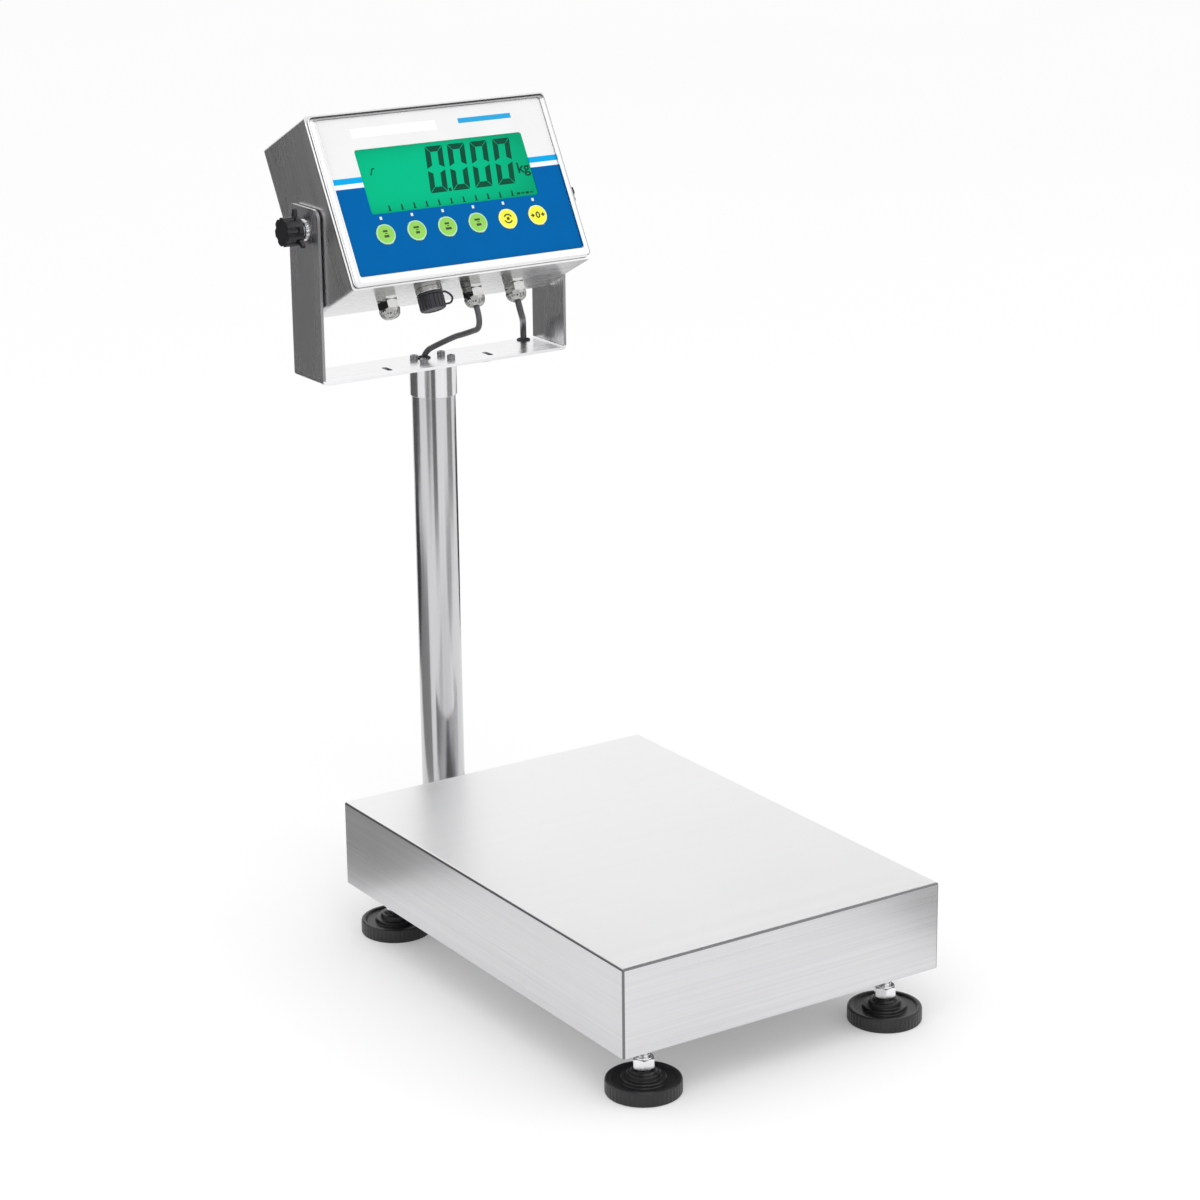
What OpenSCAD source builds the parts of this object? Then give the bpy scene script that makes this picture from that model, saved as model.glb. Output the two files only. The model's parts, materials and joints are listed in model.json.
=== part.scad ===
// Bench scale: a stainless weighing platform on four levelling feet, a round column behind it, and an
// indicator that tilts between the ears of a U bracket on top of the column.
// Millimetres, +Z up, +X to the user's right, the user's side at -Y, floor at z = 0.

/* [Platform] */
// Width of the weighing pan, across the front
pan_w = 300; // [280:5:340]
// Depth of the weighing pan, front to back
pan_d = 426; // [420:2:460]
// Height of the pan's skirt
skirt_h = 73; // [73:1:75]
// Height of the weighing surface above the floor
pan_top = 117; // [117:1:118]
// Sheet thickness of the pan
pan_t = 1.5; // [1:0.1:2]

/* [Levelling feet] */
// Radius of a foot's rubber pad
pad_r = 30; // [26:1:32]
// Height of the pad's outer rim
pad_rim_h = 12; // [10:0.5:13]
// Distance of a foot's axis from the side of the pan
foot_inset_x = 34; // [33:1:35]
// Distance of a foot's axis from the front or back of the pan
foot_inset_y = 24; // [23:1:26]
// Radius of a foot's threaded stud
stud_r = 5; // [4:0.5:5]

/* [Column] */
// Outer radius of the column tube
column_r = 19; // [18:0.5:19]
// Wall of the column tube
column_wall = 1.5; // [1.2:0.1:2]
// Distance from the pan's centre back to the column's axis
column_reach = 303; // [300:1:310]
// Height of the underside of the indicator's bracket
bracket_z = 460.5; // [458:0.5:470]
// Outer radius of the collar at the top of the column
collar_r = 20.5; // [20.5:0.5:22]

/* [Bracket] */
// Half the outer width across the bracket's ears
ear_x = 120.5; // [120.5:0.5:122]
// Sheet thickness of the bracket
bracket_t = 2.5; // [2:0.5:2.5]
// Depth of the bracket, front to back
bracket_d = 51; // [48:1:56]
// Height of the bracket's ears
ear_h = 148; // [147:1:150]
// Height of the tilt axis above the bracket's underside
pivot_h = 128.5; // [128:0.5:130]

/* [Indicator] */
// Width of the indicator's housing
housing_w = 233; // [230:1:233]
// Height of the indicator's housing
housing_h = 153; // [150:1:154]
// Depth of the indicator, front face to back
housing_d = 85; // [84:1:90]
// Lean of the front face back from upright, in degrees
tilt = 29.5; // [20:0.5:32]
// Distance of the tilt axis behind the front face
pivot_depth = 49; // [48:1:50]
// Distance of the tilt axis below the middle of the front face
pivot_drop = 5; // [4:1:6]
// Rise of the housing's top and bottom walls toward the rear, in degrees
rise = 3.2; // [0:0.2:4]

/* [Keys] */
// Radius of a key
key_r = 8.8; // [8:0.1:9]
// Distance between neighbouring keys
key_pitch = 29.5; // [28:0.5:30]
// Height of the row of keys from the middle of the front face
key_up = -33; // [-34:0.5:-32]
// Travel of a key
key_travel = 0.4; // [0.2:0.1:0.4]

/* [Hidden] */
$fn = 64;
small_fn = 40;
fit = 0.05;

pivot_z = bracket_z + pivot_h;
rear_up = housing_h / 2 + pivot_drop + housing_d * tan(rise);
rear_reach = column_reach + (housing_d - pivot_depth) * cos(tilt) + rear_up * sin(tilt);
pan_y = -(rear_reach - pan_d / 2) / 2;
column_y = pan_y + column_reach;

foot_x = pan_w / 2 - foot_inset_x;
foot_y = pan_d / 2 - foot_inset_y;
foot_corners = [[-1, -1], [1, -1], [-1, 1], [1, 1]];
ends = [-1, 1];

rail = 25;
rail_wall = 2;
rail_z = 40;
rail_top = rail_z + rail;
rail_len = 410;
cross_front = -165;
cross_mid = 100;
cross_rear = 178;
cell_fixed_y = 52;
cell_live_y = -52;
beam_d = 60;
insert_r = 9;

spacer_h = 5;
cell_len = 150;
cell_w = 40;
cell_h = 22;
cell_z = rail_top + spacer_h;
cell_bolt_r = 3.95;
cell_bolt_pitch = 24;
support_z = cell_z + cell_h + 4;
support_h = 16;
support_top = support_z + support_h;
support_x = 100;
bumper_r = 9;
stop_r = 3;
stop_gap = 1;
stop_x = 109;
stop_y = 120;

plate_t = 6;
plate_z = 34;
plate_top = plate_z + plate_t;
plate_half_w = 38;
plate_front = -218;
plate_rear = 42;
flange_half = 31;
flange_h = 6;
flange_bolt = 24;
bracket_bolt_x = 25;
collar_z = bracket_z - 27.5;
collar_cap_z = bracket_z - 8.5;
web_top = bracket_z + bracket_t;
web_bolt_x = 13.5;
web_bolt_y = 8.5;
cell_cable_r = 2.5;
power_cable_r = 2.75;
cell_hole = [-3.5, 9];
power_hole = [104, 19];

spigot_r = 6;
shell_t = 1.5;
rim_inset = 2;
bezel_t = 2.5;
gasket_t = 1;
shell_front = bezel_t + gasket_t;
bezel_w = housing_w - 2 * rim_inset;
bezel_h = housing_h - 2 * rim_inset;
overlay_w = 217;
overlay_h = 137;
overlay_up = 2;
lcd_w = 162;
lcd_h = 57;
lcd_up = 13.5;
board_depth = 10;
switch_front = board_depth - 4;
post_x = 107;
post_up = 65;
gland_depth = 29;
gland_first = -73.5;
gland_pitch = 41;
gland_drop = 21.5;
gland_bore = 4;
hex_r = 9.8;

knob_in = ear_x + 5.5;
knob_t = 14.5;
knob_r = 12.3;

// Centreline of the load cell cable, measured from the column's axis at floor level
cell_route = [
    [8.5, -59.7, 522.1], [8.5, -61.8, 517.8], [8.5, -64.2, 512.7], [8.6, -65.1, 508.3], [8.9, -64.6, 504.4],
    [9.3, -62.3, 500.8], [9.6, -58.7, 498.3], [9.7, -53, 496.2], [8, -39, 491], [5.5, -27, 486.5],
    [-1, -3, 474.5], [-2.6, 4.2, 469.8], [-3.4, 8, 464.8], [-3.5, 9.1, 460], [-3.5, 9.2, 452],
    [-2.5, 6.5, 425], [0, 1, 385], [0, 0, 200], [0, 1.5, 90], [0, 2, 60],
    [0, 2, 43.5], [0, 0.4, 37.4], [0, -4, 32.9], [0, -10, 31.2], [0, -19, 31.2],
    [0, -45, 31.2], [0, -110, 31.2], [0, -137, 31.2], [0, -146, 31.2], [0, -152, 32.9],
    [0, -156.4, 37.4], [0, -158, 43.5], [0, -158, 56], [0, -158, 69], [0, -159.6, 74.9],
    [0, -164.1, 79.3], [0, -170, 81], [0, -177, 81], [0, -190, 81], [0, -224, 81]
];
// Centreline of the power cable from its gland to the stored coil, measured the same way
power_route = [
    [49.5, -59.7, 522.1], [49.5, -61.8, 517.8], [50, -63.2, 512.8], [51.6, -62.7, 508], [53.8, -60.6, 504.4],
    [56.5, -56.9, 502.2], [60.5, -50.5, 500.2], [72, -32, 494.5], [88, -6.5, 486.5], [96, 6.2, 482],
    [99.5, 11.8, 480], [102.1, 16, 477.2], [103.6, 18.4, 473.2], [104, 19, 468.5], [104, 19, 464],
    [102.4, 19.1, 458.4], [98.2, 19.3, 454.4], [92.5, 19.5, 453], [84, 19.6, 453], [62, 20.3, 453],
    [33, 21.5, 453], [24, 21.8, 453], [18.2, 21.8, 451.4], [14.1, 21.7, 447.2], [12.5, 21.5, 441.5],
    [12.5, 21.5, 433], [12.5, 21.5, 410], [12.5, 21.5, 350], [12.5, 21.5, 200], [12.5, 21.5, 120],
    [12.6, 23, 92], [13.5, 29, 72], [16, 41, 56], [21, 56, 44], [28, 66, 30],
    [38, 68, 15], [50, 60, 4], [57, 42, 2.8], [58, 15, 2.8], [57.5, -13, 2.8]
];
// Centreline of the short length between the coil and the adapter
tail_route = [
    [122.7, 3, 8], [119.8, 8.5, 9], [117.5, 15, 10.5], [115.8, 22, 11.6], [115.1, 28, 12], [115, 34, 12], [115, 40, 12]
];
// Centreline of the dust cap's strap, measured from the socket's axis at the housing
tether_route = [[12.6, 0, 4.8], [15, 0, 4.9], [19, 1, 7], [21, 1, 10.5], [18.5, 1, 14.5], [12.4, 0, 15.5]];
coil_center = [95, -13];
coil_r = 32;
coil_band = 17;
coil_h = 12;
coil_lift = 0.3;

// ---- shared shapes ----

// A flat rectangle with round corners
module rounded_rect(w, d, r) {
    square([w - 2 * r, d], center = true);
    square([w, d - 2 * r], center = true);
    for (sx = ends, sy = ends) translate([sx * (w / 2 - r), sy * (d / 2 - r)]) circle(r = r, $fn = small_fn);
}

module plate(w, d, h, r) {
    linear_extrude(height = h) rounded_rect(w, d, r);
}

// A plate that lies in the indicator's front plane: w across, h up, from depth near to depth far
module face_plate(w, h, near, far, r) {
    translate([0, far, 0]) rotate([90, 0, 0]) plate(w, h, far - near, r);
}

// A round bar along the indicator's depth
module face_bar(x, up, near, far, r) {
    translate([x, far, up]) rotate([90, 0, 0]) cylinder(h = far - near, r = r, $fn = small_fn);
}

// A cylinder along X between two stations
module bar_x(from, to, r) {
    translate([from, 0, 0]) rotate([0, 90, 0]) cylinder(h = to - from, r = r);
}

// A square section tube along X, centred, standing on z = 0
module square_tube(len, w, h, wall) {
    translate([-len / 2, -w / 2, 0]) difference() {
        cube([len, w, h]);
        translate([-1, wall, wall]) cube([len + 2, w - 2 * wall, h - 2 * wall]);
    }
}

// A hexagon-headed bolt, head up, with its shank hanging below z = 0
module hex_bolt(shank_r, shank_len, head_r, head_h) {
    cylinder(h = head_h, r = head_r, $fn = 6);
    translate([0, 0, -shank_len]) cylinder(h = shank_len + 0.5, r = shank_r, $fn = small_fn);
}

// A socket-headed screw, head up
module cap_screw(shank_r, shank_len, head_r, head_h, socket_r) {
    difference() {
        cylinder(h = head_h, r = head_r, $fn = small_fn);
        translate([0, 0, head_h / 2]) cylinder(h = head_h, r = socket_r, $fn = 6);
    }
    translate([0, 0, -shank_len]) cylinder(h = shank_len + 0.2, r = shank_r, $fn = small_fn);
}

module at_pan() {
    translate([0, pan_y, 0]) children();
}

module at_column() {
    translate([0, column_y, 0]) children();
}

// The indicator's own axes: x across, y = depth behind the front face, z up the face from its middle
module at_face() {
    translate([0, column_y, pivot_z]) rotate([-tilt, 0, 0]) translate([0, -pivot_depth, pivot_drop]) children();
}

// The tilt axis
module at_pivot() {
    translate([0, column_y, pivot_z]) children();
}

// ---- tubes swept along a route ----

function curve_point(a, b, c, d, t) =
    0.5 * (2 * b + (c - a) * t + (2 * a - 5 * b + 4 * c - d) * t * t + (3 * b - a - 3 * c + d) * t * t * t);
function smooth(p, steps) = let (n = len(p)) concat(
    [for (i = [0:n - 2], k = [0:steps - 1])
        curve_point(p[max(i - 1, 0)], p[i], p[i + 1], p[min(i + 2, n - 1)], k / steps)],
    [p[n - 1]]);
function unit(v) = v / norm(v);
function heading(p, i) = unit(p[min(i + 1, len(p) - 1)] - p[max(i - 1, 0)]);
function ring(c, dir, r, sides) =
    let (u = unit(cross(dir, [0.48, 0.62, 0.62])), v = cross(dir, u))
    [for (k = [0:sides - 1]) c + r * (cos(360 * k / sides) * u + sin(360 * k / sides) * v)];

module tube_along(route, r, steps, sides) {
    p = smooth(route, steps);
    n = len(p);
    points = [for (i = [0:n - 1]) each ring(p[i], heading(p, i), r, sides)];
    walls = [for (i = [0:n - 2], k = [0:sides - 1])
        let (a = i * sides, b = (k + 1) % sides)
        [a + k, a + sides + k, a + sides + b, a + b]];
    start = [for (k = [0:sides - 1]) k];
    end = [for (k = [0:sides - 1]) n * sides - 1 - k];
    polyhedron(points = points, faces = concat([start], walls, [end]), convexity = 6);
}

// ---- platform ----

module weighing_pan() color("gainsboro") at_pan() translate([0, 0, pan_top - skirt_h]) difference() {
    plate(pan_w, pan_d, skirt_h, 2);
    translate([0, 0, -pan_t]) plate(pan_w - 2 * pan_t, pan_d - 2 * pan_t, skirt_h, 0.8);
}

module pan_bumpers() color("dimgray") at_pan() for (c = foot_corners)
    translate([c[0] * support_x, c[1] * 150, support_top])
        cylinder(h = pan_top - pan_t - support_top, r = bumper_r);

module pan_support() color("silver") at_pan() translate([0, 0, support_z]) difference() {
    union() {
        for (sx = ends) translate([sx * support_x, 0, 0]) rotate([0, 0, 90]) square_tube(400, rail, support_h, rail_wall);
        for (y = [-150, 150]) translate([0, y, 0]) square_tube(2 * support_x - rail, rail, support_h, rail_wall);
        translate([-support_x + rail / 2, cell_live_y - beam_d / 2, 0]) cube([2 * support_x - rail, beam_d, 8]);
    }
    for (s = [-0.5, 0.5]) translate([0, cell_live_y + s * cell_bolt_pitch, -1]) cylinder(h = 12, r = 4.1);
}

module cell_spacer(y, z, h) {
    at_pan() translate([0, y, z]) difference() {
        translate([-cell_w / 2, -22, 0]) cube([cell_w, 44, h]);
        for (s = [-0.5, 0.5]) translate([0, s * cell_bolt_pitch, -1]) cylinder(h = h + 2, r = 4.1);
    }
}

module cell_spacer_upper() color("silver") cell_spacer(cell_live_y, cell_z + cell_h, support_z - cell_z - cell_h);

module cell_spacer_lower() color("silver") cell_spacer(cell_fixed_y, rail_top, spacer_h);

module cell_bolts_upper() color("lightgray") at_pan() for (s = [-0.5, 0.5])
    translate([0, cell_live_y + s * cell_bolt_pitch, support_z + 8])
        cap_screw(cell_bolt_r, 24, 6.5, 7, 3.4);

module cell_bolts_lower() color("lightgray") at_pan() for (s = [-0.5, 0.5])
    translate([0, cell_fixed_y + s * cell_bolt_pitch, rail_z]) mirror([0, 0, 1])
        hex_bolt(cell_bolt_r, rail + spacer_h + 12, 7.3, 5);

// A single point cell: a bar with two joined holes through its waist and a cable boss at its rear end
module load_cell() color("lightsteelblue") at_pan() translate([0, 0, cell_z]) difference() {
    union() {
        translate([-cell_w / 2, -cell_len / 2, 0]) cube([cell_w, cell_len, cell_h]);
        translate([0, cell_len / 2 + 4, cell_h / 2]) rotate([90, 0, 0]) cylinder(h = 5, r = 5);
    }
    for (sy = ends) translate([0, sy * 15, cell_h / 2]) bar_x(-cell_w, cell_w, 8);
    translate([-cell_w, -15, cell_h / 2 - 3]) cube([2 * cell_w, 30, 6]);
    for (s = [-0.5, 0.5]) {
        translate([0, cell_live_y + s * cell_bolt_pitch, cell_h - 16]) cylinder(h = 20, r = 4);
        translate([0, cell_fixed_y + s * cell_bolt_pitch, -1]) cylinder(h = 15, r = 4);
    }
}

// Screws that the upper frame meets when the scale is overloaded
module overload_stops() color("lightgray") at_pan() for (sx = ends, sy = ends) translate([sx * stop_x, sy * stop_y, 0]) {
    translate([0, 0, rail_top - 12]) cylinder(h = 12 + support_z - rail_top - stop_gap, r = stop_r - fit);
    translate([0, 0, rail_top]) cylinder(h = 5, r = 5.7, $fn = 6);
}

module base_frame() color("silver") at_pan() difference() {
    union() {
        translate([0, 0, rail_z]) {
            for (sx = ends) translate([sx * foot_x, 0, 0]) rotate([0, 0, 90]) square_tube(rail_len, rail, rail, rail_wall);
            for (y = [cross_front, cross_mid, cross_rear]) translate([0, y, 0]) square_tube(2 * foot_x - rail, rail, rail, rail_wall);
            translate([0, cell_fixed_y, 0]) square_tube(2 * foot_x - rail, beam_d, rail, 3);
            for (sx = ends, sy = ends)
                translate([sx * foot_x - rail / 2, sy * (rail_len / 2 - 1) - 1, 0]) cube([rail, 2, rail]);
            for (s = [-0.5, 0.5]) translate([0, cell_fixed_y + s * cell_bolt_pitch, 0]) cylinder(h = rail, r = 8);
            for (sx = ends, y = [cross_mid, cross_rear]) translate([sx * bracket_bolt_x, y, 0]) cylinder(h = rail, r = 8);
            for (sx = ends, sy = ends) translate([sx * stop_x, sy * stop_y, 0]) cylinder(h = rail, r = 5);
        }
        for (c = foot_corners) translate([c[0] * foot_x, c[1] * foot_y, rail_z - 2]) cylinder(h = rail + 2, r = insert_r);
    }
    for (c = foot_corners) translate([c[0] * foot_x, c[1] * foot_y, rail_z - 3]) cylinder(h = rail + 4, r = stud_r);
    for (s = [-0.5, 0.5]) translate([0, cell_fixed_y + s * cell_bolt_pitch, rail_z - 1]) cylinder(h = rail + 2, r = 4.1);
    for (sx = ends, y = [cross_mid, cross_rear])
        translate([sx * bracket_bolt_x, y, rail_z - 1]) cylinder(h = rail + 2, r = 4);
    for (sx = ends, sy = ends) translate([sx * stop_x, sy * stop_y, rail_z - 1]) cylinder(h = rail + 2, r = stop_r);
}

// ---- levelling feet ----

module at_foot(c) {
    translate([c[0] * foot_x, pan_y + c[1] * foot_y, 0]) children();
}

// A stepped rubber pad, with a dished top and a boss that holds the stud's ball
module foot_pad(c) color("black") at_foot(c) difference() {
    rotate_extrude() polygon([
        [0, 0], [pad_r - 1, 0], [pad_r, 1], [pad_r, pad_rim_h - 1.5], [pad_r - 1.5, pad_rim_h],
        [pad_r - 4, pad_rim_h], [pad_r - 5, pad_rim_h - 2], [18, pad_rim_h - 2], [17.5, pad_rim_h + 1],
        [13.5, pad_rim_h + 1], [13, pad_rim_h + 5], [10.5, pad_rim_h + 5], [9.5, pad_rim_h + 7], [0, pad_rim_h + 7]
    ]);
    translate([0, 0, 6]) cylinder(h = 20, r = 6);
}

// A stud with a ball end in the pad and a hexagon just above it
module foot_stud(c) color("lightgray") at_foot(c) {
    cylinder_from(6, 20.5, 5.8);
    translate([0, 0, 20]) cylinder(h = 9, r = 9.2, $fn = 6);
    cylinder_from(20, 74, stud_r - fit);
}

module cylinder_from(z0, z1, r) {
    translate([0, 0, z0]) cylinder(h = z1 - z0, r = r);
}

module foot_pad_front_left() foot_pad(foot_corners[0]);
module foot_pad_front_right() foot_pad(foot_corners[1]);
module foot_pad_rear_left() foot_pad(foot_corners[2]);
module foot_pad_rear_right() foot_pad(foot_corners[3]);
module foot_stud_front_left() foot_stud(foot_corners[0]);
module foot_stud_front_right() foot_stud(foot_corners[1]);
module foot_stud_rear_left() foot_stud(foot_corners[2]);
module foot_stud_rear_right() foot_stud(foot_corners[3]);

// Nuts on the studs above the rails
module foot_lock_nuts() color("lightgray") for (c = foot_corners) at_foot(c) difference() {
    translate([0, 0, rail_top]) cylinder(h = 6, r = 9.2, $fn = 6);
    translate([0, 0, rail_top - 1]) cylinder(h = 8, r = stud_r);
}

// ---- column ----

// A welded shelf behind the platform: a plate with two gusset ribs
module column_bracket() color("silver") at_column() difference() {
    union() {
        translate([-plate_half_w, plate_front, plate_z])
            cube([2 * plate_half_w, plate_rear - plate_front, plate_t]);
        for (sx = ends) translate([sx * (plate_half_w - 2.5) + 2.5, 0, 0]) rotate([90, 0, -90])
            linear_extrude(height = 5) polygon([
                [75, plate_top - 1], [-plate_rear, plate_top - 1], [-plate_rear, 50],
                [-plate_rear + 17, 66], [32, 66], [62, 50]
            ]);
    }
    translate([0, 0, plate_z - 1]) cylinder(h = plate_t + 2, r = 10);
    translate([0, -158, plate_z - 1]) cylinder(h = plate_t + 2, r = 9);
    for (sx = ends, sy = ends)
        translate([sx * flange_bolt, sy * flange_bolt, plate_z - 1]) cylinder(h = plate_t + 2, r = 3);
    for (sx = ends, y = [cross_mid, cross_rear])
        translate([sx * bracket_bolt_x, y - column_reach, plate_z - 1]) cylinder(h = plate_t + 2, r = 4);
}

module bracket_bolts() color("lightgray") at_pan() for (sx = ends, y = [cross_mid, cross_rear])
    translate([sx * bracket_bolt_x, y, plate_z]) mirror([0, 0, 1]) hex_bolt(4 - fit, 26, 7.3, 5);

// A bull's-eye level on the shelf: a ring round a domed vial
module level_bubble() color("khaki") at_column() translate([-19, -58, plate_top]) {
    difference() {
        cylinder(h = 7, r = 9);
        translate([0, 0, 2]) cylinder(h = 6, r = 7);
    }
    translate([0, 0, 2]) cylinder(h = 4, r = 6.9);
}

module column_tube() color("silver") at_column() difference() {
    union() {
        translate([0, 0, plate_top]) plate(2 * flange_half, 2 * flange_half, flange_h, 4);
        cylinder_from(plate_top, collar_cap_z, column_r);
    }
    translate([0, 0, plate_top - 1]) cylinder(h = collar_cap_z, r = column_r - column_wall);
    for (sx = ends, sy = ends)
        translate([sx * flange_bolt, sy * flange_bolt, plate_top - 1]) cylinder(h = flange_h + 2, r = 3.3);
}

module flange_bolts() color("lightgray") at_column() for (sx = ends, sy = ends)
    translate([sx * flange_bolt, sy * flange_bolt, plate_top + flange_h]) hex_bolt(3 - fit, flange_h + plate_t, 5.5, 4);

// A turned cup over the top of the tube, with tapped holes for the bracket
module column_collar() color("gainsboro") at_column() difference() {
    cylinder_from(collar_z, bracket_z, collar_r);
    cylinder_from(collar_z - 1, collar_cap_z, column_r + fit);
    for (sx = ends, sy = ends)
        translate([sx * web_bolt_x, sy * web_bolt_y, collar_cap_z - 1]) cylinder(h = 12, r = 2);
    translate([cell_hole[0], cell_hole[1], collar_cap_z - 1]) cylinder(h = 12, r = 4.5);
}

module web_bolts() color("lightgray") at_column() for (sx = ends, sy = ends)
    translate([sx * web_bolt_x, sy * web_bolt_y, web_top]) cap_screw(2 - fit, 9, 3.5, 4, 1.7);

module grommet(at) {
    translate([at[0], at[1], bracket_z]) difference() {
        union() {
            cylinder(h = bracket_t, r = 5 - fit);
            translate([0, 0, bracket_t]) cylinder(h = 1.2, r = 6);
        }
        translate([0, 0, -1]) cylinder(h = 6, r = 3.7);
    }
}

module web_grommets() color("black") at_column() {
    grommet(cell_hole);
    grommet(power_hole);
}

// ---- bracket and tilt hardware ----

module bracket_section() {
    difference() {
        union() {
            translate([0, ear_h / 2 + 2]) square([2 * ear_x, ear_h - 4], center = true);
            translate([0, 2]) square([2 * (ear_x - 4), 4], center = true);
            for (sx = ends) translate([sx * (ear_x - 4), 4]) circle(r = 4);
        }
        translate([0, ear_h / 2 + 4]) square([2 * (ear_x - bracket_t), ear_h], center = true);
        translate([0, 4]) square([2 * (ear_x - 4), 3], center = true);
        for (sx = ends) translate([sx * (ear_x - 4), 4]) circle(r = 1.5);
    }
}

// The outline of an ear seen from the side, with round top corners
module ear_outline() {
    top_r = 8;
    translate([0, (ear_h - top_r) / 2]) square([bracket_d, ear_h - top_r], center = true);
    translate([0, ear_h / 2]) square([bracket_d - 2 * top_r, ear_h], center = true);
    for (sy = ends) translate([sy * (bracket_d / 2 - top_r), ear_h - top_r]) circle(r = top_r);
}

module slot_cut(x, y) {
    translate([x, y, -1]) {
        for (s = [-4.5, 4.5]) translate([0, s, 0]) cylinder(h = bracket_t + 2, r = 2.5);
        translate([-2.5, -4.5, 0]) cube([5, 9, bracket_t + 2]);
    }
}

module indicator_bracket() color("gainsboro") at_column() translate([0, 0, bracket_z]) difference() {
    intersection() {
        translate([0, bracket_d / 2, 0]) rotate([90, 0, 0]) linear_extrude(height = bracket_d) bracket_section();
        translate([-ear_x - 1, 0, 0]) rotate([90, 0, 90]) linear_extrude(height = 2 * ear_x + 2) ear_outline();
    }
    translate([0, 0, pivot_h]) bar_x(-ear_x - 1, ear_x + 1, spigot_r);
    for (sx = ends) slot_cut(sx * 50, -9);
    for (at = [cell_hole, power_hole]) translate([at[0], at[1], -1]) cylinder(h = bracket_t + 2, r = 5);
    for (sx = ends, sy = ends)
        translate([sx * web_bolt_x, sy * web_bolt_y, -1]) cylinder(h = bracket_t + 2, r = 2.2);
}

// Both sides of the indicator carry the same tilt hardware
module both_sides() {
    for (sx = ends) at_pivot() mirror([sx < 0 ? 1 : 0, 0, 0]) children();
}

module one_side(sx) {
    at_pivot() mirror([sx < 0 ? 1 : 0, 0, 0]) children();
}

// A tapped boss whose flange lies inside the housing's wall and whose spigot turns in the ear
module pivot_bosses() color("lightgray") both_sides() difference() {
    union() {
        bar_x(housing_w / 2 - shell_t - 6, housing_w / 2 - shell_t, 10);
        bar_x(housing_w / 2 - shell_t - 1, ear_x + 0.8, spigot_r - fit);
    }
    bar_x(housing_w / 2 - 12, ear_x + 2, 3);
}

module serrated_washers() color("lightgray") both_sides() difference() {
    union() {
        bar_x(ear_x, ear_x + 1.4, 8);
        for (k = [0:15]) rotate([22.5 * k, 0, 0]) translate([ear_x, 0, 8]) rotate([45, 0, 0])
            translate([0, -0.8, -0.8]) cube([1.4, 1.6, 1.6]);
    }
    bar_x(ear_x - 1, ear_x + 3, spigot_r + 0.2);
}

module knob_stud() {
    bar_x(housing_w / 2 - 6, knob_in + 8, 3 - fit);
    translate([ear_x + 1.9, 0, 0]) rotate([0, 90, 0]) cylinder(h = knob_in - ear_x - 1.9, r = 7.2, $fn = 6);
}

module knob_stud_left() color("lightgray") one_side(-1) knob_stud();
module knob_stud_right() color("lightgray") one_side(1) knob_stud();

// A fluted cap in front of three slim arms
module knob() {
    difference() {
        union() {
            bar_x(knob_in, knob_in + knob_t, knob_r);
            for (a = [0, 130, 245]) rotate([a, 0, 0]) hull() {
                translate([knob_in + 0.5, 0, 0]) rotate([0, 90, 0]) cylinder(h = 4, r = 4, $fn = 32);
                translate([knob_in + 0.5, 0, 17]) rotate([0, 90, 0]) cylinder(h = 3, r = 1.6, $fn = 32);
            }
        }
        for (k = [0:6]) rotate([360 / 7 * k + 25, 0, 0]) translate([knob_in + 4, 0, knob_r + 1.4])
            rotate([0, 90, 0]) cylinder(h = knob_t, r = 3, $fn = small_fn);
        bar_x(knob_in - 1, knob_in + 8.5, 3);
    }
}

module knob_left() color("black") one_side(-1) knob();
module knob_right() color("black") one_side(1) knob();

// ---- indicator ----

// A block between two depths whose top and bottom walls rise toward the rear
module sloped_block(w, h, near, far, r) {
    intersection() {
        rotate([rise, 0, 0]) face_plate(w, h * cos(rise), near - 20, far + 20, r);
        translate([-w, near, -h]) cube([2 * w, far - near, 2 * h]);
    }
}

module housing() color("dimgray") at_face() difference() {
    sloped_block(housing_w, housing_h, shell_front, housing_d, 3);
    sloped_block(housing_w - 2 * shell_t, housing_h - 2 * shell_t, shell_front + shell_t, housing_d - shell_t, 1.5);
    face_plate(205, 125, 0, shell_front + shell_t + 1, 2);
    for (sx = ends, su = ends) {
        face_bar(sx * post_x, su * post_up, 0, shell_front + shell_t + 1, 3.6);
        face_bar(sx * post_x, su * post_up, housing_d - 3, housing_d + 1, 2.1);
    }
    translate([0, pivot_depth, -pivot_drop]) bar_x(-housing_w, housing_w, spigot_r);
    for (k = [0:3]) on_underside(k) cylinder_from(-3, 1, 6.1);
}

module housing_gasket() color("black") at_face() difference() {
    face_plate(bezel_w - 1, bezel_h - 1, bezel_t, shell_front, 3);
    face_plate(207, 127, 0, shell_front + 1, 2);
    for (sx = ends, su = ends) face_bar(sx * post_x, su * post_up, 0, shell_front + 1, 3.6);
}

function key_x(i) = (i - 3.5) * key_pitch;

// The front frame: a pocket for the overlay, openings for the display and keys, and four long posts behind
module bezel() color("gainsboro") at_face() difference() {
    union() {
        face_plate(bezel_w, bezel_h, 0, bezel_t, 4);
        for (sx = ends, su = ends) face_bar(sx * post_x, su * post_up, bezel_t, housing_d - shell_t, 3.4);
        for (sx = ends, su = ends) face_bar(sx * 90, su * 52, bezel_t, board_depth, 3);
    }
    translate([0, 0, overlay_up]) face_plate(overlay_w + 0.6, overlay_h + 0.6, -1, 1, 2.3);
    translate([0, 0, lcd_up]) face_plate(lcd_w + 4, lcd_h + 4, -1, bezel_t + 1, 1);
    for (i = [1:6]) face_bar(key_x(i), key_up, -1, bezel_t + 1, 6);
    for (sx = ends, su = ends) face_bar(sx * post_x, su * post_up, housing_d - 14, housing_d, 1.7);
}

module housing_screws() color("lightgray") at_face() for (sx = ends, su = ends)
    translate([sx * post_x, housing_d, su * post_up]) rotate([-90, 0, 0]) cap_screw(1.7 - fit, 11, 3.6, 2.6, 1.6);

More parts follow.
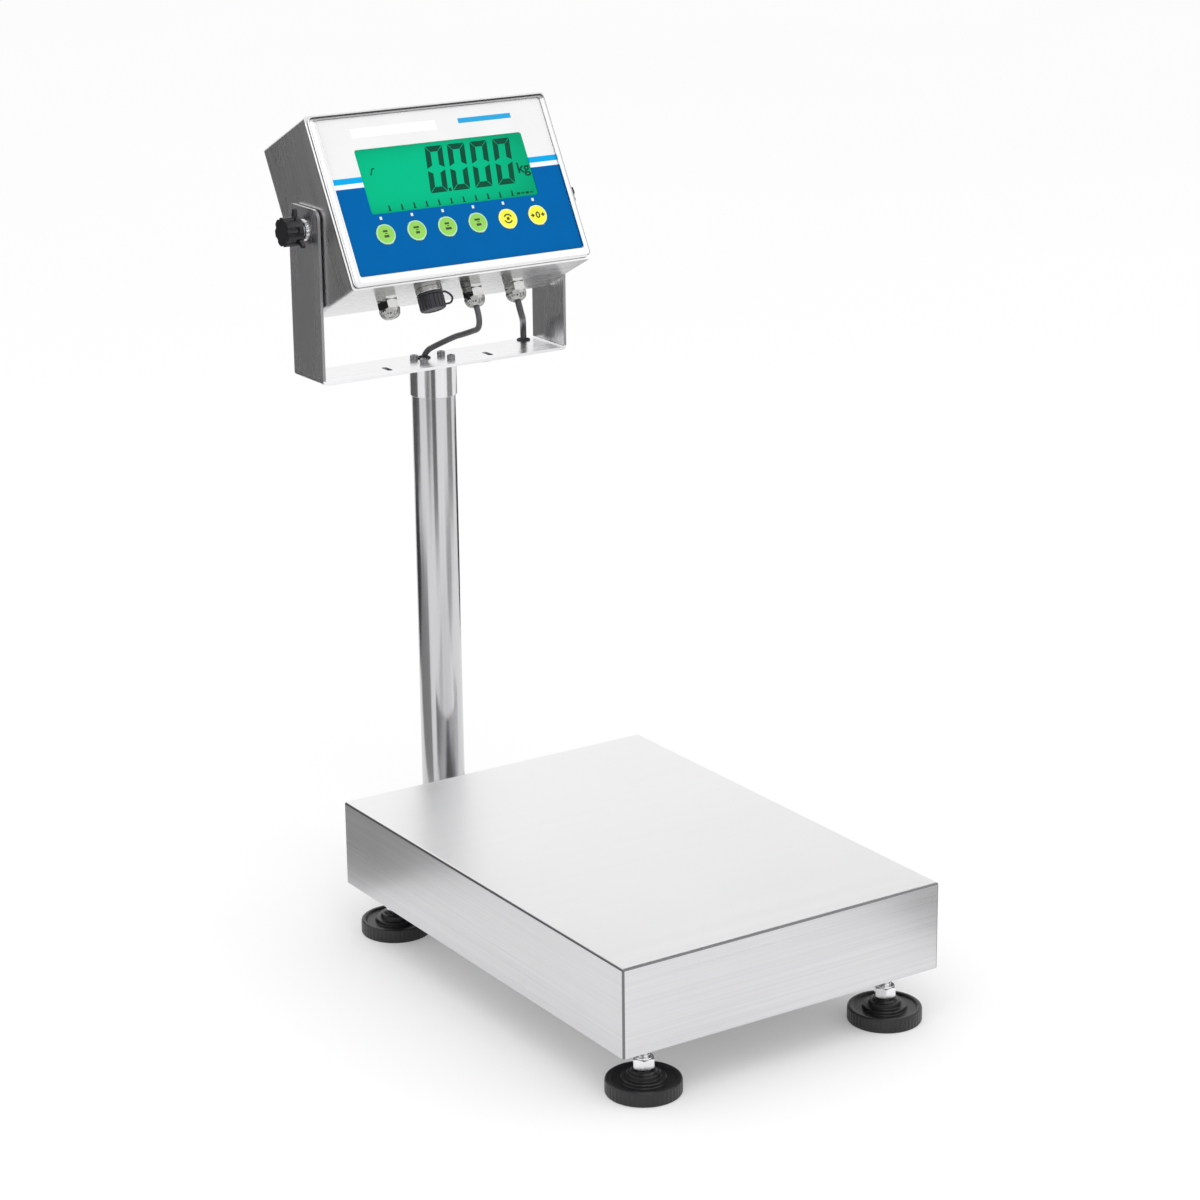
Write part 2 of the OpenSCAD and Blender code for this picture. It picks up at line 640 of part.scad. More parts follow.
module front_overlay() color("royalblue") at_face() difference() {
    translate([0, 0, overlay_up]) face_plate(overlay_w, overlay_h, 0.3, 1, 2);
    translate([0, 0, lcd_up]) face_plate(lcd_w, lcd_h, -1, 2, 2.5);
    for (i = [1:6]) face_bar(key_x(i), key_up, -1, 2, key_r + 0.3);
}

module lcd_panel() color("mediumseagreen") at_face() translate([0, 0, lcd_up])
    face_plate(lcd_w + 3, lcd_h + 3, 1, 3.4, 0.5);

module backlight() color("white") at_face() translate([0, 0, lcd_up]) face_plate(lcd_w + 6, lcd_h + 6, 3.4, 8, 1);

// The circuit board, with a switch under each key
module main_board() color("seagreen") at_face() {
    face_plate(190, 116, board_depth, board_depth + 1.6, 2);
    for (i = [1:6]) translate([key_x(i), board_depth, key_up]) {
        translate([-3, -3, -3]) cube([6, 3, 6]);
        rotate([90, 0, 0]) translate([0, 0, 2.5]) cylinder(h = 1.5, r = 1.8, $fn = small_fn);
    }
    for (x = [-80, 30]) translate([x, board_depth + 1.6, -40]) cube([30, 9, 18]);
}

module battery_pack() color("gray") at_face() translate([-45, 50, -20]) cube([90, housing_d - shell_t - 50, 62]);

module key(i) at_face() {
    face_bar(key_x(i), key_up, -0.3, 0.5, key_r);
    face_bar(key_x(i), key_up, 0.4, switch_front - key_travel - 0.1, 5.6);
}

module key_1() color("yellowgreen") key(1);
module key_2() color("yellowgreen") key(2);
module key_3() color("yellowgreen") key(3);
module key_4() color("yellowgreen") key(4);
module key_5() color("yellow") key(5);
module key_6() color("yellow") key(6);

// ---- glands and data connector ----

// Station k under the indicator: z = 0 on the underside, growing downward away from it
module on_underside(k) {
    translate([gland_first + k * gland_pitch, gland_depth, gland_depth * tan(rise) - housing_h / 2])
        rotate([rise, 0, 0]) mirror([0, 0, 1]) children();
}

module at_gland(k) {
    at_face() on_underside(k) children();
}

module gland_body() {
    difference() {
        union() {
            cylinder(h = 6.5, r = hex_r, $fn = 6);
            cylinder_from(-8, 0, 6);
            cylinder_from(6, 10, 7.6);
            translate([0, 0, -shell_t - 4]) cylinder(h = 4, r = hex_r, $fn = 6);
        }
        cylinder_from(-9, 11, 3.2);
    }
}

module gland_bodies() color("silver") for (k = [0, 2, 3]) at_gland(k) gland_body();

// A hexagon nut with a domed end, blind unless a cable's seat is bored into its tip
module gland_nut(seat_r) {
    difference() {
        union() {
            translate([0, 0, 6.5]) cylinder(h = 8, r = hex_r, $fn = 6);
            rotate_extrude() polygon([[0, 14], [9, 14], [9, 16], [8.2, 18.5], [6.6, 20.5], [4.6, gland_drop], [0, gland_drop]]);
        }
        cylinder_from(6, 10.2, 7.8);
        if (seat_r > 0) cylinder_from(gland_drop - gland_bore, gland_drop + 1, seat_r);
    }
}

module gland_nuts() color("silver") {
    at_gland(0) gland_nut(0);
    at_gland(2) gland_nut(cell_cable_r + 0.45);
    at_gland(3) gland_nut(power_cable_r + 0.45);
}

module data_socket() color("silver") at_gland(1) difference() {
    union() {
        cylinder_from(0, 4.5, 11.5);
        cylinder_from(-8, 13.5, 6);
        translate([0, 0, -shell_t - 4]) cylinder(h = 4, r = hex_r, $fn = 6);
    }
    cylinder_from(5.5, 14, 4.6);
}

// A ribbed dust cap
module data_cap() color("black") at_gland(1) difference() {
    union() {
        cylinder_from(5.1, 19.5, 10.4);
        for (k = [0:17]) rotate([0, 0, 20 * k]) translate([10.2, -0.8, 7.5]) cube([1.1, 1.6, 11]);
        cylinder_from(5.1, 6.9, 11.3);
    }
    cylinder_from(4, 14.5, 6.4);
}

// The strap from the socket's flange to the cap: a ring round the socket, a loop, and a ring round the cap
module cap_tether() color("black") at_gland(1) {
    difference() {
        union() {
            cylinder_from(4.5, 5, 10);
            translate([8, -1, 4.5]) cube([5.2, 2, 0.5]);
        }
        cylinder_from(4, 6, 6.5);
    }
    tube_along(tether_route, 0.9, 3, 8);
}

// ---- cables ----

module load_cell_cable() color("dimgray") at_column() tube_along(cell_route, cell_cable_r, 2, 10);

module power_cable() color("dimgray") at_column() {
    tube_along(power_route, power_cable_r, 2, 10);
    tube_along(tail_route, power_cable_r, 2, 10);
}

module power_coil() color("dimgray") at_column() translate([coil_center[0], coil_center[1], coil_lift])
    rotate_extrude() translate([coil_r, coil_h / 2]) rounded_rect(coil_band, coil_h, 4);

// A wall adapter lying on its side, with a sleeve for the cable and two pins
module power_adapter() color("black") at_column() translate([115, 53, 16.3]) difference() {
    union() {
        translate([0, 0, -16]) plate(50, 34, 32, 4);
        translate([0, -17, -4.3]) rotate([90, 0, 0]) cylinder(h = 8, r = 4.6);
        for (sy = ends) translate([-25, sy * 9.5, 0]) rotate([0, -90, 0]) cylinder(h = 18, r = 2.4);
    }
    translate([0, -13, -4.3]) rotate([90, 0, 0]) cylinder(h = 13, r = power_cable_r + 0.25);
}

// Clips that hold the power cable under the bracket and down the back of the column
module column_clip(z) {
    away = norm([12.5, 21.5]);
    rotate([0, 0, atan2(21.5, 12.5)]) translate([0, 0, z]) difference() {
        union() {
            translate([away, 0, 0]) cylinder(h = 9, r = 4.6);
            translate([column_r - 0.3, -5, 0]) cube([4, 10, 9]);
        }
        translate([away, 0, -1]) cylinder(h = 11, r = power_cable_r + 0.35);
        translate([0, 0, -1]) cylinder(h = 11, r = column_r + 0.02);
    }
}

// A saddle under a plate: x and y of its middle, the plate's height, and the cable's height and radius
module saddle(x, y, top, at_z, r) {
    translate([x - 4, y - 4, at_z - r - 1]) difference() {
        cube([8, 8, top - at_z + r + 1]);
        children();
    }
}

module cable_clips() color("black") at_column() {
    for (z = [120, 240, 360]) column_clip(z);
    saddle(64, 20, bracket_z, 453, 2.8) translate([-1, 4, 3.8]) rotate([0, 90, 0]) cylinder(h = 10, r = 3);
    for (y = [-50, -120]) saddle(0, y, plate_z, 31.2, 2.5) translate([4, 9, 3.5]) rotate([90, 0, 0]) cylinder(h = 10, r = 2.7);
}

weighing_pan();
pan_bumpers();
pan_support();
cell_spacer_upper();
cell_bolts_upper();
load_cell();
cell_spacer_lower();
cell_bolts_lower();
overload_stops();
base_frame();
foot_lock_nuts();
foot_pad_front_left();
foot_pad_front_right();
foot_pad_rear_left();
foot_pad_rear_right();
foot_stud_front_left();
foot_stud_front_right();
foot_stud_rear_left();
foot_stud_rear_right();
column_bracket();
bracket_bolts();
level_bubble();
column_tube();
flange_bolts();
column_collar();
web_bolts();
web_grommets();
indicator_bracket();
serrated_washers();
pivot_bosses();
knob_left();
knob_right();
knob_stud_left();
knob_stud_right();
housing();
housing_gasket();
bezel();
housing_screws();
front_overlay();
lcd_panel();
backlight();
main_board();
battery_pack();
key_1();
key_2();
key_3();
key_4();
key_5();
key_6();
gland_bodies();
gland_nuts();
data_socket();
data_cap();
cap_tether();
load_cell_cable();
power_cable();
power_coil();
power_adapter();
cable_clips();
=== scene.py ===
import json
import math

import bmesh
import bpy
from mathutils import Matrix, Vector

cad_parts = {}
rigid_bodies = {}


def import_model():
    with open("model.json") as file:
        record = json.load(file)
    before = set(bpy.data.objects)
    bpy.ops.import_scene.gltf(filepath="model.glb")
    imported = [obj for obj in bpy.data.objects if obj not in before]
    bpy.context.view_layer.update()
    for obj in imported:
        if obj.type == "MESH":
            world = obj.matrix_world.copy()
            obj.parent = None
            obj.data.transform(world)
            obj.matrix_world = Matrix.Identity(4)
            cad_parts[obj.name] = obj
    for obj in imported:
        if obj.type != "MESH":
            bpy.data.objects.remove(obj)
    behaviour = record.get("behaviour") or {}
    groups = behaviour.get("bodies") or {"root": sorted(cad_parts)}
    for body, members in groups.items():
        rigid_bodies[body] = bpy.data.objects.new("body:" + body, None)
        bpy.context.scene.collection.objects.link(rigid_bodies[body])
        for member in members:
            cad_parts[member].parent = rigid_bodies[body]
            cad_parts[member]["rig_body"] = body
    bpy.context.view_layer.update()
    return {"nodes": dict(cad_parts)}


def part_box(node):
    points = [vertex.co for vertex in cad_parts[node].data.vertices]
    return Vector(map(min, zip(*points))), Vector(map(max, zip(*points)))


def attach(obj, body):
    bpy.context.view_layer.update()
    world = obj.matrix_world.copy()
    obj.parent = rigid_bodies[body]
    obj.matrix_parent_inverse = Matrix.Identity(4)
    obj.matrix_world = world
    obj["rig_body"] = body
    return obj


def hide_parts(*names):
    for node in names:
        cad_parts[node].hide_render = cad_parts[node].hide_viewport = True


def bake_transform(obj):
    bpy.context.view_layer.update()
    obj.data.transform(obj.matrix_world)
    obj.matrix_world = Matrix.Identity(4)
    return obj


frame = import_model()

# ---- places, all taken from the frame ----

MM = 0.001
IDENTITY = Matrix.Identity(4)
NODES = frame["nodes"]
scene = bpy.context.scene
scene.view_settings.view_transform = "Standard"


def middle(node):
    low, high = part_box(node)
    return (low + high) / 2


def shift(x, y, z):
    """A move in millimetres."""
    return Matrix.Translation((x * MM, y * MM, z * MM))


def turn(degrees, axis):
    return Matrix.Rotation(math.radians(degrees), 4, axis)


PAN_Y = middle("weighing_pan").y / MM
COLUMN_Y = middle("column_collar").y / MM
PIVOT = middle("pivot_bosses")
PAN_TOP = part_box("weighing_pan")[1].z / MM
WEB_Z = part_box("indicator_bracket")[0].z / MM
WEB_THICK = 2.5
# The indicator's face leans back by TILT degrees, and its underside rises to the rear by RISE degrees
TILT, RISE = 29.5, 3.2
HOUSING_H = 153
# From the pivot forwards and upwards to the middle of the face
FACE_AHEAD, FACE_UP = 49, 5
# The row of glands under the indicator: its first x, its pitch, and how far it stands behind the face
GLAND_X, GLAND_PITCH, GLAND_BACK = -73.5, 41, 29

AT_PAN = shift(0, PAN_Y, 0)
AT_COLUMN = shift(0, COLUMN_Y, 0)
AT_PIVOT = Matrix.Translation((0, PIVOT.y, PIVOT.z))
# Axes on the indicator's front: x across, y up the face, z out towards the reader
FRONT = AT_PIVOT @ turn(-TILT, "X") @ shift(0, -FACE_AHEAD, FACE_UP) @ turn(90, "X")


def at_gland(k):
    """Axes of station k under the indicator: z grows out of the housing."""
    up = GLAND_BACK * math.tan(math.radians(RISE)) - HOUSING_H / 2
    return FRONT @ turn(-90, "X") @ shift(GLAND_X + GLAND_PITCH * k, GLAND_BACK, up) @ turn(RISE + 180, "X")


# ---- mesh helpers; sizes are in millimetres ----

# Edges of a CAD node that turn by more than this many degrees are rounded off
SHARP = 28


def crease(mesh, degrees):
    """Smooth shading up to that angle, led by the larger faces so that flat ones stay flat."""
    bm = bmesh.new()
    bm.from_mesh(mesh)
    bmesh.ops.recalc_face_normals(bm, faces=bm.faces)
    for face in bm.faces:
        face.smooth = True
    bm.to_mesh(mesh)
    bm.free()
    around = [[] for _ in mesh.vertices]
    faces = [(p.normal.copy(), p.area, list(p.vertices)) for p in mesh.polygons]
    for face in faces:
        for v in face[2]:
            around[v].append(face)
    limit = math.cos(math.radians(degrees))
    normals = []
    for normal, area, vertices in faces:
        for v in vertices:
            total = Vector((0, 0, 0))
            for other, other_area, _ in around[v]:
                if other.dot(normal) > limit:
                    total += other * other_area
            normals.append(total.normalized() if total.length > 0 else normal)
    mesh.normals_split_custom_set(normals)


def stand(name, mesh, place, body, material, replaces):
    """Puts a mesh at a place, riding on a body if one is given, and standing for CAD nodes."""
    mesh.materials.append(material)
    obj = bpy.data.objects.new(name, mesh)
    scene.collection.objects.link(obj)
    obj.matrix_world = place
    if body:
        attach(obj, body)
    if replaces:
        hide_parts(*replaces)
    return obj


def piece(name, shape, place, body, material, replaces=(), sharp=35):
    """An object from (points, faces) in millimetres."""
    points, faces = shape
    mesh = bpy.data.meshes.new(name)
    mesh.from_pydata([Vector(p) * MM for p in points], [], faces)
    mesh.validate()
    crease(mesh, sharp)
    return stand(name, mesh, place, body, material, replaces)


def repaint(obj, material, chosen):
    """Gives another material to the faces for which chosen(normal, centre in millimetres) is true."""
    obj.data.materials.append(material)
    index = len(obj.data.materials) - 1
    for polygon in obj.data.polygons:
        if chosen(polygon.normal, polygon.center / MM):
            polygon.material_index = index


def join(*shapes):
    points, faces = [], []
    for some_points, some_faces in shapes:
        start = len(points)
        points += [tuple(p) for p in some_points]
        faces += [[i + start for i in face] for face in some_faces]
    return points, faces


def moved(shape, matrix):
    """A shape after a matrix whose shift is in metres."""
    points, faces = shape
    return [(matrix @ (Vector(p) * MM)) / MM for p in points], faces


def loft(rings, closed=False, capped=True):
    """Skins rings that have the same number of points: closed into a loop, or capped at both ends."""
    count = len(rings[0])
    points = [p for ring in rings for p in ring]
    faces = []
    steps = len(rings) if closed else len(rings) - 1
    for i in range(steps):
        a, b = i * count, (i + 1) % len(rings) * count
        for k in range(count):
            n = (k + 1) % count
            faces.append([a + k, a + n, b + n, b + k])
    if capped and not closed:
        last = (len(rings) - 1) * count
        faces.append(list(range(count)))
        faces.append([last + k for k in range(count)])
    return points, faces


def circle(radius, z, count=64, start=0.0):
    """A ring of points about z, the first of them at the start angle."""
    angles = [start + 2 * math.pi * k / count for k in range(count)]
    return [(radius * math.cos(a), radius * math.sin(a), z) for a in angles]


def lathe(profile, count=64, closed=False):
    """Turns a list of (radius, height) about z."""
    return loft([circle(r, z, count) for r, z in profile], closed)


def rounded(w, d, r, z, inset=0.0):
    """A rectangle's outline with round corners, drawn in by inset."""
    steps = 6
    half_w, half_d = w / 2 - inset, d / 2 - inset
    radius = max(r - inset, 0.05)
    ring = []
    for corner, (sx, sy) in enumerate(((1, 1), (-1, 1), (-1, -1), (1, -1))):
        for k in range(steps + 1):
            a = math.radians(90 * corner + 90 * k / steps)
            ring.append((sx * (half_w - radius) + radius * math.cos(a),
                         sy * (half_d - radius) + radius * math.sin(a), z))
    return ring


def slab(w, d, r, z0, z1, edge):
    """A plate with round corners and softened rims."""
    rows = [(edge, z0), (edge * 0.3, z0 + edge * 0.3), (0, z0 + edge),
            (0, z1 - edge), (edge * 0.3, z1 - edge * 0.3), (edge, z1)]
    return loft([rounded(w, d, r, z, inset) for inset, z in rows])


def polar(radius_of, z, count):
    """A ring whose radius is a function of the angle."""
    angles = [2 * math.pi * k / count for k in range(count)]
    return [(radius_of(a) * math.cos(a), radius_of(a) * math.sin(a), z) for a in angles]


def hexagon(corner_r, z0, z1, chamfer_low=True):
    """A hexagonal prism whose corners are turned off at its ends, as on a nut."""
    count = 96
    flat = corner_r * math.cos(math.pi / 6)

    def outline(limit):
        def radius_of(a):
            off = (a % (math.pi / 3)) - math.pi / 6
            return min(flat / math.cos(off), limit)
        return radius_of

    depth = (corner_r - flat) * 0.8
    cut = corner_r - flat + 0.2
    levels = [k / 4 for k in range(5)]
    rings = [polar(outline(corner_r), z0, count)]
    if chamfer_low:
        rings = [polar(outline(flat - 0.2 + cut * t), z0 + depth * t, count) for t in levels]
    rings += [polar(outline(corner_r - cut * t), z1 - depth * (1 - t), count) for t in levels]
    return loft(rings)


def thread(radius, depth, pitch, z0, z1, count=24):
    """A rod with a rolled screw thread, drawn in rings of count points."""
    rows = 6
    total = int((z1 - z0) / pitch * rows)
    rings = []
    for i in range(total + 1):
        z = z0 + (z1 - z0) * i / total
        fade = min(1.0, i / rows, (total - i) / rows)

        def radius_of(a):
            wave = (z / pitch - a / (2 * math.pi)) % 1.0
            return radius - depth * fade * abs(2 * wave - 1) - depth * (1 - fade) * 0.5
        rings.append(polar(radius_of, z, count))
    return loft(rings)


def curve_points(route, steps):
    """A smooth line through given points."""
    made = []
    last = len(route) - 1
    for i in range(last):
        a, b, c, d = (Vector(route[min(max(j, 0), last)]) for j in (i - 1, i, i + 1, i + 2))
        for k in range(steps):
            t = k / steps
            made.append(0.5 * (2 * b + (c - a) * t + (2 * a - 5 * b + 4 * c - d) * t * t
                               + (3 * b - a - 3 * c + d) * t * t * t))
    made.append(Vector(route[last]))
    return made


def tube(points, radius, sides):
    """A round tube along a line, its rings carried on without twist. Each point may have its own radius."""
    count = len(points)
    radii = radius if isinstance(radius, list) else [radius] * count
    normal = None
    rings = []
    for i, p in enumerate(points):
        way = (points[min(i + 1, count - 1)] - points[max(i - 1, 0)]).normalized()
        if normal is None:
            normal = way.orthogonal().normalized()
        normal = (normal - way * normal.dot(way)).normalized()
        side = way.cross(normal)
        rings.append([p + radii[i] * (math.cos(2 * math.pi * k / sides) * normal
                                      + math.sin(2 * math.pi * k / sides) * side) for k in range(sides)])
    return loft(rings)


def softened(node, width, material, place=IDENTITY, rides=True):
    """A CAD node's own shape with its sharp edges rounded off, standing for the node."""
    source = NODES[node].data
    inverse = place.inverted()
    mesh = bpy.data.meshes.new(node + "_edged")
    points = [inverse @ v.co for v in source.vertices]
    mesh.from_pydata(points, [], [list(p.vertices) for p in source.polygons])
    bm = bmesh.new()
    bm.from_mesh(mesh)
    bmesh.ops.remove_doubles(bm, verts=bm.verts, dist=2e-6)
    bmesh.ops.dissolve_limit(bm, angle_limit=math.radians(0.5), verts=bm.verts, edges=bm.edges)
    bmesh.ops.recalc_face_normals(bm, faces=bm.faces)
    edges = [e for e in bm.edges if len(e.link_faces) == 2 and e.calc_face_angle(0) > math.radians(SHARP)]
    bmesh.ops.bevel(bm, geom=edges, offset=width * MM, offset_type="OFFSET", segments=2,
                    profile=0.5, affect="EDGES", clamp_overlap=True)
    bmesh.ops.triangulate(bm, faces=[f for f in bm.faces if len(f.verts) > 4])
    bm.to_mesh(mesh)
    bm.free()
    crease(mesh, 32)
    body = NODES[node]["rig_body"] if rides else None
    return stand(node + "_edged", mesh, place, body, material, [node])


# ---- material helpers ----


class Maker:
    """A material's node tree, with short calls to add nodes."""

    def __init__(self, name, color, roughness, metallic=0.0, **sockets):
        self.material = bpy.data.materials.new(name)
        self.material.use_nodes = True
        self.tree = self.material.node_tree
        self.shader = self.tree.nodes["Principled BSDF"]
        self.shader.inputs["Base Color"].default_value = (*color, 1)
        self.shader.inputs["Roughness"].default_value = roughness
        self.shader.inputs["Metallic"].default_value = metallic
        for socket, value in sockets.items():
            self.shader.inputs[socket.replace("_", " ")].default_value = value
        self.material.diffuse_color = (*color, 1)
        self.coords = self.tree.nodes.new("ShaderNodeTexCoord").outputs["Object"]

    def put(self, socket, value):
        if isinstance(value, bpy.types.NodeSocket):
            self.tree.links.new(value, socket)
        else:
            socket.default_value = value

    def math(self, operation, a, b=0.0, clamp=False):
        node = self.tree.nodes.new("ShaderNodeMath")
        node.operation = operation
        node.use_clamp = clamp
        self.put(node.inputs[0], a)
        self.put(node.inputs[1], b)
        return node.outputs[0]

    def noise(self, scale, detail=3.0, roughness=0.5, grain=(1, 1, 1)):
        mapping = self.tree.nodes.new("ShaderNodeMapping")
        self.put(mapping.inputs["Vector"], self.coords)
        mapping.inputs["Scale"].default_value = grain
        node = self.tree.nodes.new("ShaderNodeTexNoise")
        node.inputs["Scale"].default_value = scale
        node.inputs["Detail"].default_value = detail
        node.inputs["Roughness"].default_value = roughness
        self.put(node.inputs["Vector"], mapping.outputs["Vector"])
        return node.outputs["Fac"]

    def remap(self, value, low, high, to_low, to_high):
        node = self.tree.nodes.new("ShaderNodeMapRange")
        self.put(node.inputs["Value"], value)
        for socket, number in zip(("From Min", "From Max", "To Min", "To Max"), (low, high, to_low, to_high)):
            node.inputs[socket].default_value = number
        return node.outputs["Result"]

    def mix(self, share, a, b):
        node = self.tree.nodes.new("ShaderNodeMix")
        node.data_type = "RGBA"
        self.put(node.inputs[0], share)
        self.put(node.inputs[6], a if isinstance(a, bpy.types.NodeSocket) else (*a, 1))
        self.put(node.inputs[7], b if isinstance(b, bpy.types.NodeSocket) else (*b, 1))
        return node.outputs[2]

    def axis(self, index):
        node = self.tree.nodes.new("ShaderNodeSeparateXYZ")
        self.put(node.inputs[0], self.coords)
        return node.outputs[index]

    def tones(self, noise, low, high, pale, dark):
        """Colours the surface from one shade to another as a noise goes from low to high."""
        self.color(self.mix(self.remap(noise, low, high, 0.0, 1.0), pale, dark))

    def between(self, value, low, high):
        """1 where the value lies between two numbers given in millimetres."""
        above = self.math("GREATER_THAN", value, low * MM)
        below = self.math("LESS_THAN", value, high * MM)
        return self.math("MULTIPLY", above, below)

    def color(self, value):
        self.put(self.shader.inputs["Base Color"], value)

    def rough(self, value):
        self.put(self.shader.inputs["Roughness"], value)

    def bump(self, height, strength, distance):
        node = self.tree.nodes.new("ShaderNodeBump")
        node.inputs["Strength"].default_value = strength
        node.inputs["Distance"].default_value = distance * MM
        self.put(node.inputs["Height"], height)
        self.put(self.shader.inputs["Normal"], node.outputs["Normal"])


def scaled(color, factor):
    return tuple(min(1.0, c * factor) for c in color)


def brushed(name, color, roughness, grain, contrast, depth, strength):
    """Brushed sheet metal: fine streaks along one way, with faint cloudy wear."""
    m = Maker(name, color, roughness, 1.0)
    fine = m.noise(1.0, 4.0, 0.65, grain)
    broad = m.noise(1.0, 2.0, 0.5, tuple(g * 0.12 for g in grain))
    cloud = m.noise(9.0, 3.0, 0.55)
    streak = m.math("ADD", m.math("MULTIPLY", fine, 0.65), m.math("MULTIPLY", broad, 0.35))
    tone = m.math("ADD", m.math("MULTIPLY", streak, 0.8), m.math("MULTIPLY", cloud, 0.2))
    m.tones(tone, 0.3, 0.7, scaled(color, 1 - contrast), scaled(color, 1 + contrast))
    m.rough(m.remap(tone, 0.3, 0.7, roughness * 0.82, roughness * 1.2))
    m.bump(streak, strength, depth)
    return m.material


def turned(name, color, roughness, scale=900, depth=0.008):
    """Machined metal with fine turning marks and small scuffs."""
    m = Maker(name, color, roughness, 1.0)
    rings = m.noise(1.0, 3.0, 0.6, (60, 60, scale))
    scuffs = m.noise(240.0, 4.0, 0.6)
    m.tones(scuffs, 0.35, 0.7, scaled(color, 0.9), scaled(color, 1.05))
    m.rough(m.remap(scuffs, 0.3, 0.7, roughness * 0.75, roughness * 1.35))
    m.bump(rings, 0.2, depth)
    return m.material


def moulded(name, color, roughness, grain, depth, spread=0.25, **sockets):
    """Moulded plastic, rubber or ink: a fine grain with slightly uneven gloss and tone."""
    m = Maker(name, color, roughness, **sockets)
    fine = m.noise(grain, 3.0, 0.6)
    cloud = m.noise(60.0, 3.0, 0.55)
    m.tones(cloud, 0.3, 0.7, scaled(color, 1 - spread), scaled(color, 1 + spread))
    m.rough(m.remap(cloud, 0.3, 0.7, roughness * 0.85, min(1.0, roughness * 1.15)))
    m.bump(fine, 0.3, depth)
    return m.material


# ---- materials ----

PAN_TOP_STEEL = brushed("pan_top_steel", (0.92, 0.92, 0.925), 0.34, (3, 620, 3), 0.02, 0.006, 0.15)
# Painted shade: the pan's sides take a darker copy of the steel that its top wears
PAN_SIDE_SHADED_STEEL = brushed("pan_side_painted_shade_steel", (0.69, 0.69, 0.7), 0.3, (4, 4, 520), 0.1, 0.015, 0.3)
BRACKET_STEEL = brushed("bracket_steel", (0.9, 0.9, 0.91), 0.26, (4, 260, 4), 0.04, 0.006, 0.1)
# Painted shade: a dark steel for the bracket's slot walls and the front edges of its ears
BRACKET_SHADE_STEEL = brushed("bracket_painted_shade_steel", (0.34, 0.34, 0.35), 0.4, (260, 260, 60), 0.1, 0.01, 0.2)
# Painted shade: a dark steel for the dark lines along the pan's folds
FOLD_SHADE_STEEL = brushed("fold_painted_shade_steel", (0.2, 0.2, 0.205), 0.36, (60, 60, 420), 0.1, 0.01, 0.2)
HOUSING_STEEL = brushed("housing_steel", (0.78, 0.78, 0.78), 0.28, (12, 12, 420), 0.12, 0.012, 0.22)
BEZEL_STEEL = brushed("bezel_steel", (0.88, 0.88, 0.89), 0.22, (8, 560, 8), 0.06, 0.01, 0.2)
# Painted reflection: a darker copy of the bezel's steel for the dark reflection on its lip
LIP_REFLECTION_STEEL = brushed("bezel_lip_painted_reflection", (0.4, 0.4, 0.405), 0.24, (8, 560, 8), 0.1, 0.01, 0.2)
COLUMN_STEEL = brushed("column_steel", (0.6, 0.6, 0.61), 0.17, (420, 420, 5), 0.1, 0.012, 0.25)
# Painted highlight: a brighter copy of the column's steel, so that the collar's highlights come out brighter
COLLAR_HIGHLIGHT_STEEL = brushed("collar_painted_highlight_steel", (0.76, 0.76, 0.77), 0.15, (420, 420, 5), 0.08, 0.01, 0.2)
FRAME_STEEL = brushed("frame_steel", (0.52, 0.52, 0.53), 0.42, (30, 30, 180), 0.12, 0.03, 0.3)
TURNED_STEEL = turned("turned_steel", (0.74, 0.74, 0.75), 0.2)
BOLT_STEEL = turned("bolt_steel", (0.26, 0.26, 0.27), 0.22)
CHROME = turned("foot_steel", (0.92, 0.92, 0.93), 0.15, 500)
GLAND_STEEL = turned("gland_steel", (0.42, 0.42, 0.41), 0.07, 500, 0.003)
ALLOY = turned("cell_alloy", (0.68, 0.69, 0.71), 0.36, 400, 0.02)
RUBBER = moulded("foot_rubber", (0.012, 0.012, 0.013), 0.34, 1200, 0.04)
BUMPER = moulded("bumper_rubber", (0.05, 0.05, 0.052), 0.65, 1400, 0.05)
KNOB_PLASTIC = moulded("knob_plastic", (0.008, 0.008, 0.01), 0.24, 1600, 0.02)
CAP_PLASTIC = moulded("cap_plastic", (0.018, 0.019, 0.024), 0.34, 1600, 0.02)
GASKET_RUBBER = moulded("gasket_rubber", (0.04, 0.04, 0.04), 0.7, 1600, 0.03)
CABLE_JACKET = moulded("cable_jacket", (0.07, 0.07, 0.075), 0.38, 900, 0.03)
ADAPTER_PLASTIC = moulded("adapter_plastic", (0.03, 0.03, 0.031), 0.42, 1300, 0.04)
TIE_PLASTIC = moulded("tie_plastic", (0.05, 0.05, 0.05), 0.5, 800, 0.05)
BATTERY_WRAP = moulded("battery_wrap", (0.16, 0.17, 0.19), 0.35, 300, 0.04)
DIFFUSER = moulded("diffuser", (0.82, 0.83, 0.84), 0.45, 500, 0.02, 0.04)
INK_DARK = moulded("print_dark", (0.035, 0.045, 0.03), 0.5, 1500, 0.01)
INK_WHITE = moulded("print_white", (0.75, 0.78, 0.85), 0.5, 1500, 0.01, 0.08)
INK_SEGMENT = moulded("segment_dark", (0.001, 0.07, 0.038), 0.5, 1500, 0.005, 0.15, Specular_IOR_Level=0.1)
KEY_RING = moulded("key_ring", (0.42, 0.74, 0.5), 0.42, 1500, 0.01, 0.08)
KEY_GREEN = moulded("key_green", (0.26, 0.6, 0.075), 0.42, 1500, 0.015, 0.08)
KEY_YELLOW = moulded("key_yellow", (0.86, 0.84, 0.02), 0.42, 1500, 0.015, 0.06)
KEY_YELLOW_RING = moulded("key_yellow_ring", (0.83, 0.86, 0.36), 0.42, 1500, 0.01, 0.06)


def board_material():
    """Green solder mask with copper lines and pads just showing."""
    m = Maker("board_mask", (0.02, 0.12, 0.05), 0.4)
    lines = m.noise(1.0, 1.0, 0.4, (700, 60, 60))
    cross = m.noise(1.0, 1.0, 0.4, (60, 60, 700))
    copper = m.math("GREATER_THAN", m.math("MAXIMUM", lines, cross), 0.62)
    m.color(m.mix(copper, (0.015, 0.1, 0.045), (0.05, 0.22, 0.09)))
    m.bump(copper, 0.4, 0.03)
    return m.material


